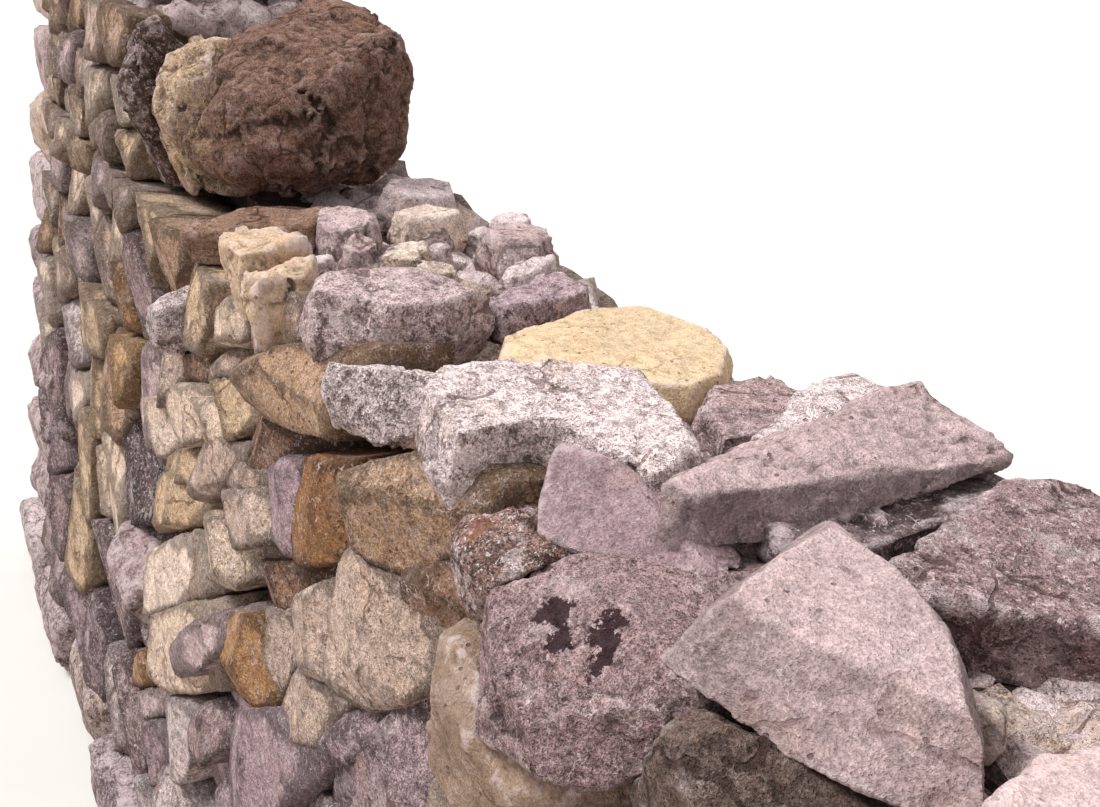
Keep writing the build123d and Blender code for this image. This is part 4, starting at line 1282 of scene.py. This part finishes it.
for number, site in enumerate(front_sites):
    add_bisected(front_heaps[bay_of(site[0])], face_rng, -1, site, others,
                 (FAR_END, NEAR_END, FOOTING_LEVEL, TOP_LEVEL), grid_step(site[0]),
                 200.0 + number, face_rng.uniform(0.004, 0.030))
print("stones in the front face", len(outlined_sites) + len(front_sites))

# %% Stones deep in the gaps of the front face
# Length and height of the middle, width, height (all in metres), colour
PACKING = ((-0.42, 1.10, 0.24, 0.17, "tan"), (-0.57, 0.47, 0.20, 0.14, "mid_grey"),
           (-0.21, 0.50, 0.22, 0.16, "lavender_grey"), (0.70, 1.07, 0.24, 0.16, "mid_grey"),
           (0.50, 1.10, 0.18, 0.14, "dark_grey"), (-0.10, 0.62, 0.18, 0.14, "mid_grey"))
PACKING_INSET = 0.020
PACKING_DEPTH = 0.08
packing_rng = np.random.default_rng(77)
for number, (x, z, wide, tall, colour) in enumerate(PACKING):
    y = face_point(-1, x, z + tall / 2, -PACKING_INSET)[1]
    add_block(front_heaps[bay_of(x)], packing_rng, (x - wide / 2, y, z - tall / 2),
              (x + wide / 2, y + PACKING_DEPTH, z + tall / 2), 0.014, colour, 0.6,
              400.0 + number)
for bay, heap in enumerate(front_heaps):
    weathered(f"front_bay_{bay + 1}_stones", heap.mesh(), face_stone, "rubble_face",
              [f"front_bay_{bay + 1}"], wear=0.15, passes=1, facet=0.05, tilt=0.07,
              lump=0.06, lump_height=0.003, grain=0.014, grain_height=0.0024, ledge=0.0012,
              fold=0.035, fold_height=0.0016)
print("triangles so far", triangle_total)

# %% [markdown]
# ## Lifts, back face, wall heads and footings
# The raised far stretch and the hidden back face are laid in the same way, with a
# coarser grid because they are far from the camera. A wall head is built of bigger
# blocks that turn the corner, with two stones across its foot, and the footings are
# boulders that stand out past the face. Those are rough blocks.

# %% Boxes of the solids in a node
def parts_of(node):
    """The boxes of the separate solids in a node."""
    body = bmesh.new()
    body.from_mesh(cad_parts[node].data)
    bmesh.ops.remove_doubles(body, verts=body.verts, dist=1e-5)
    left = set(body.verts)
    boxes = []
    while left:
        group, front = set(), [left.pop()]
        while front:
            vert = front.pop()
            group.add(vert)
            near = {e.other_vert(vert) for e in vert.link_edges} & left
            left -= near
            front += near
        places = np.array([v.co for v in group])
        boxes.append((places.min(0), places.max(0)))
    body.free()
    return sorted(boxes, key=lambda b: (round(b[0][0], 3), b[0][1]))


# %% Far lifts and back face
def lay_face(side, x0, x1, z0, z1, rng, step, seed):
    """All the stones of one stretch of a face, as one heap for each bay."""
    sites = laid_sites(rng, x0, x1, z0, z1, [], 0.75 if side < 0 else 1.0)
    heaps = [StoneHeap() for _ in range(4)]
    others = [s[:3] for s in sites]
    for number, site in enumerate(sites):
        add_bisected(heaps[bay_of(site[0])], rng, side, site, others, (x0, x1, z0, z1),
                     step, seed + number, rng.uniform(0.004, 0.028))
    return heaps


for place, side, finish, step, seed in (("front", -1, face_stone, 0.0105, 500.0),
                                        ("back", 1, mixed_stone, 0.024, 540.0)):
    lift, next_bay = lay_face(side, FAR_END, FAR_STEP_X, TOP_LEVEL, FAR_LEVEL, face_rng,
                              step, seed)[:2]
    lift.join(next_bay)
    weathered(place + "_lift_stones", lift.mesh(), finish, "rubble_face",
              [place + "_far_lift"])
for bay, heap in enumerate(lay_face(1, FAR_END, NEAR_END, FOOTING_LEVEL, TOP_LEVEL,
                                    face_rng, 0.024, 600.0)):
    weathered(f"back_bay_{bay + 1}_stones", heap.mesh(), mixed_stone, "rubble_face",
              [f"back_bay_{bay + 1}"])

# %% Wall heads
HEAD_END = 1.8
HEAD_FOOT_END = 1.832
HEAD_COURSE = 0.15
FOOT_STONES = ((-0.255, -0.03), (-0.028, 0.255))


def wall_head(end, top, rng, step, seed):
    """One end of the wall: two or three big blocks to a course, corners alternating."""
    heap = StoneHeap()
    z, course = FOOTING_LEVEL, 0
    while z < top - 0.02:
        tall = HEAD_COURSE * rng.uniform(0.8, 1.15)
        if z + tall * 1.5 > top:
            tall = top - z
        half = TOP_HALF + (TOP_LEVEL - z - tall / 2) * BATTER
        cuts = [-0.36, 0.3] if course % 2 else [rng.uniform(-0.2, 0.2)]
        cuts = [-half, *(cut * half for cut in cuts), half]
        for y0, y1 in zip(cuts, cuts[1:]):
            inner = HEAD_X - 0.02 if course % 2 else HEAD_X + 0.01
            outer = HEAD_END + rng.uniform(0.0, 0.028)
            x0, x1 = sorted((end * inner, end * outer))
            y0, y1 = y0 + 0.002, y1 - 0.002
            low = rng.uniform(0, 1) > (z - FOOTING_LEVEL) / 1.2
            colours = LOW_COLOURS if low else FAR_FIELD_COLOURS
            add_block(heap, rng, (x0, y0, z + 0.001), (x1, y1, z + tall - 0.001), step,
                      colours[rng.integers(len(colours))],
                      rng.uniform(0.5, 0.9) if low else rng.uniform(0.2, 0.5),
                      seed + heap.count % 97, cut=0.16)
        z += tall
        course += 1
    foot_rng = np.random.default_rng(91)
    for number, (y0, y1) in enumerate(FOOT_STONES):
        x0, x1 = sorted((end * (HEAD_END - 0.2), end * HEAD_FOOT_END))
        add_block(heap, foot_rng, (x0, y0, 0.0), (x1, y1, FOOTING_LEVEL), step,
                  "pinkish_grey", 0.9, seed + 31 * number, cut=0.08, skew=0.03)
    return heap.mesh()


weathered("near_head_stones", wall_head(1, TOP_LEVEL, face_rng, 0.020, 700.0),
          mixed_stone, "rubble_face", ["near_head"])
weathered("far_head_stones", wall_head(-1, FAR_LEVEL, face_rng, 0.022, 750.0),
          mixed_stone, "rubble_face", ["far_head"])

# %% Footings, through stones, cope and cover
for number, (side_name, step) in enumerate((("front", 0.017), ("back", 0.026))):
    heap = StoneHeap()
    for low, high in parts_of(side_name + "_footings"):
        add_block(heap, face_rng, low, high, step,
                  LOW_COLOURS[face_rng.integers(len(LOW_COLOURS))], 1.0,
                  800.0 + 50 * number + heap.count % 41, cut=0.24)
    weathered(side_name + "_footing_stones", heap.mesh(), rough_stone_finish,
              "weathered_stone", [side_name + "_footings"], lump_height=0.012, wear=1.0)
for name, slot, colours, step, cut in (
        ("through_stones", "weathered_stone", ("pale_grey", "mid_grey"), 0.016, 0.2),
        ("far_cope_stones", "weathered_stone", ("pinkish_grey", "grey_cream", "mid_grey"),
         0.011, 0.26),
        ("near_cover_stones", "pale_grey_stone", ("pinkish_grey", "mid_grey"), 0.014,
         0.2)):
    heap = StoneHeap()
    for low, high in parts_of(name):
        add_block(heap, face_rng, low, high, step,
                  colours[face_rng.integers(len(colours))], face_rng.uniform(0.4, 0.8),
                  900.0 + heap.count % 53, cut=cut)
    weathered(name + "_laid", heap.mesh(), mixed_stone, slot, [name], wear=0.1, passes=1,
              tilt=0.18)
LOOSE_COLOURS = ("pale_grey", "pinkish_grey", "pale_grey", "pale_cream")
loose = [((low + high) / 2, COLOURS[LOOSE_COLOURS[number % len(LOOSE_COLOURS)]],
          0.25 + 0.15 * (number % 3), 950.0 + 3.7 * number)
         for number, (low, high) in enumerate(parts_of("hearting_stones"))]
weathered("hearting_stones_laid", node_copy("hearting_stones"), mixed_stone,
          "hearting_rubble", ["hearting_stones"], voxel=0.0042, parts=loose, wear=0.15,
          passes=1, facet=0.04, tilt=0.14, lump=0.05, lump_height=0.005)
print("triangles so far", triangle_total)

# %% [markdown]
# ## The hearting
# Between the skins the wall is packed with small stones. Where the slabs are not laid
# yet they show from above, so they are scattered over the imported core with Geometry
# Nodes: points on a strip, a stone at each, turned and sized at random, then made real.
# The core itself stays as solid and shows only as darkness in the joints.

# %% Packed core
core_finish = stone_finish("packed_core", pits=0.6, flecks=0.2, crust=0.1,
                           plain=linear(84, 68, 62))
for node in ("hearting", "hearting_far_lift"):
    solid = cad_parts[node]
    solid.data.materials.clear()
    solid.data.materials.append(core_finish)

# %% Scattered rubble
def rubble_tree(pebbles):
    """Geometry Nodes that scatter the given stones over a strip."""
    tree, given = geometry_tree("scatter_rubble", ("Spacing", "Smallest", "Largest"),
                                [("Finish", "Material")])

    def random_value(kind, low, high, seed):
        node = add_node(tree, "FunctionNodeRandomValue", data_type=kind)
        ends = [s for s in node.inputs if s.enabled and s.name in ("Min", "Max")]
        for socket, value in zip(ends, (low, high)):
            if isinstance(value, bpy.types.NodeSocket):
                tree.links.new(value, socket)
            else:
                socket.default_value = value
        node.inputs["Seed"].default_value = seed
        return [s for s in node.outputs if s.enabled][0]

    points = add_node(tree, "GeometryNodeDistributePointsOnFaces", (
        ("Mesh", given["Geometry"]), ("Distance Min", given["Spacing"]),
        ("Density Max", 4000.0), ("Seed", 11)), distribute_method="POISSON")
    shapes = tree.nodes.new("GeometryNodeJoinGeometry")
    for pebble in pebbles:
        info = add_node(tree, "GeometryNodeObjectInfo", (("Object", pebble),
                                                         ("As Instance", True)))
        tree.links.new(info.outputs["Geometry"], shapes.inputs[0])
    laid = add_node(tree, "GeometryNodeInstanceOnPoints", (
        ("Points", points.outputs["Points"]), ("Instance", shapes.outputs[0]),
        ("Pick Instance", True),
        ("Instance Index", random_value("INT", 0, len(pebbles) - 1, 3)),
        ("Rotation", random_value("FLOAT_VECTOR", (-0.5, -0.5, 0.0),
                                  (0.5, 0.5, 6.28), 5)),
        ("Scale", random_value("FLOAT", given["Smallest"], given["Largest"], 7))))
    seeded = laid.outputs[0]
    for key, low, high, seed in (("stone_seed", 0.0, 90.0, 13), ("stone_age", 0.2, 0.8, 17)):
        seeded = with_value(tree, seeded, key, random_value("FLOAT", low, high, seed),
                            "INSTANCE")
    end_tree(tree, seeded, given["Finish"])
    return tree


def scattered(name, strips, spacing, sizes, colours, step):
    """Small stones over strips, each given by its corners, as one plain mesh."""
    pebbles = []
    for colour in colours:
        heap = StoneHeap()
        add_block(heap, face_rng, (-0.5, -0.4, -0.3), (0.5, 0.4, 0.3), step,
                  colour, 0.5, 0.0, cut=0.28, skew=0.45)
        mesh = heap.mesh()
        for key in ("stone_age", "stone_seed"):
            mesh.attributes.remove(mesh.attributes[key])
        pebbles.append(placed("pebble", mesh))
    strip = bpy.data.meshes.new("strip")
    strip.from_pydata(sum(strips, []), [], [
        tuple(range(4 * number, 4 * number + 4)) for number in range(len(strips))])
    host = placed(name + "_strip", strip)
    mesh = run_tree(host, rubble_tree(pebbles), (
        ("Spacing", spacing), ("Smallest", sizes[0]), ("Largest", sizes[1]),
        ("Finish", mixed_stone)))
    for spare in [host] + pebbles:
        bpy.data.objects.remove(spare)
    return mesh


BROWN_SLAB_END = -0.27
RUBBLE_LEVEL = TOP_LEVEL - 0.014


def top_strip(x0, x1, z, y0=-0.12):
    """The corners of a strip between the two skins."""
    return [(x0, y0, z), (x1, y0, z), (x1, 0.14, z), (x0, 0.14, z)]


weathered("hearting_rubble_top",
          scattered("top", [top_strip(BROWN_SLAB_END, 1.5, RUBBLE_LEVEL),
                            top_strip(FAR_STEP_X + 0.05, BROWN_SLAB_END, RUBBLE_LEVEL, 0.02),
                            top_strip(-1.5, FAR_STEP_X - 0.03, FAR_LEVEL - 0.02)],
                    0.036, (0.045, 0.100),
                    ("pale_grey", "pinkish_grey", "pale_grey", "grey_cream"), 0.20),
          mixed_stone, "hearting_rubble", [], wear=0.05, passes=1, tilt=0.25, lump=0.03,
          lump_height=0.004, facet=0.03, grain=0.01, grain_height=0.002, fold=0.03,
          fold_height=0.004)
print("triangles so far", triangle_total)

# %% Number of triangles
print("triangles", triangle_total)
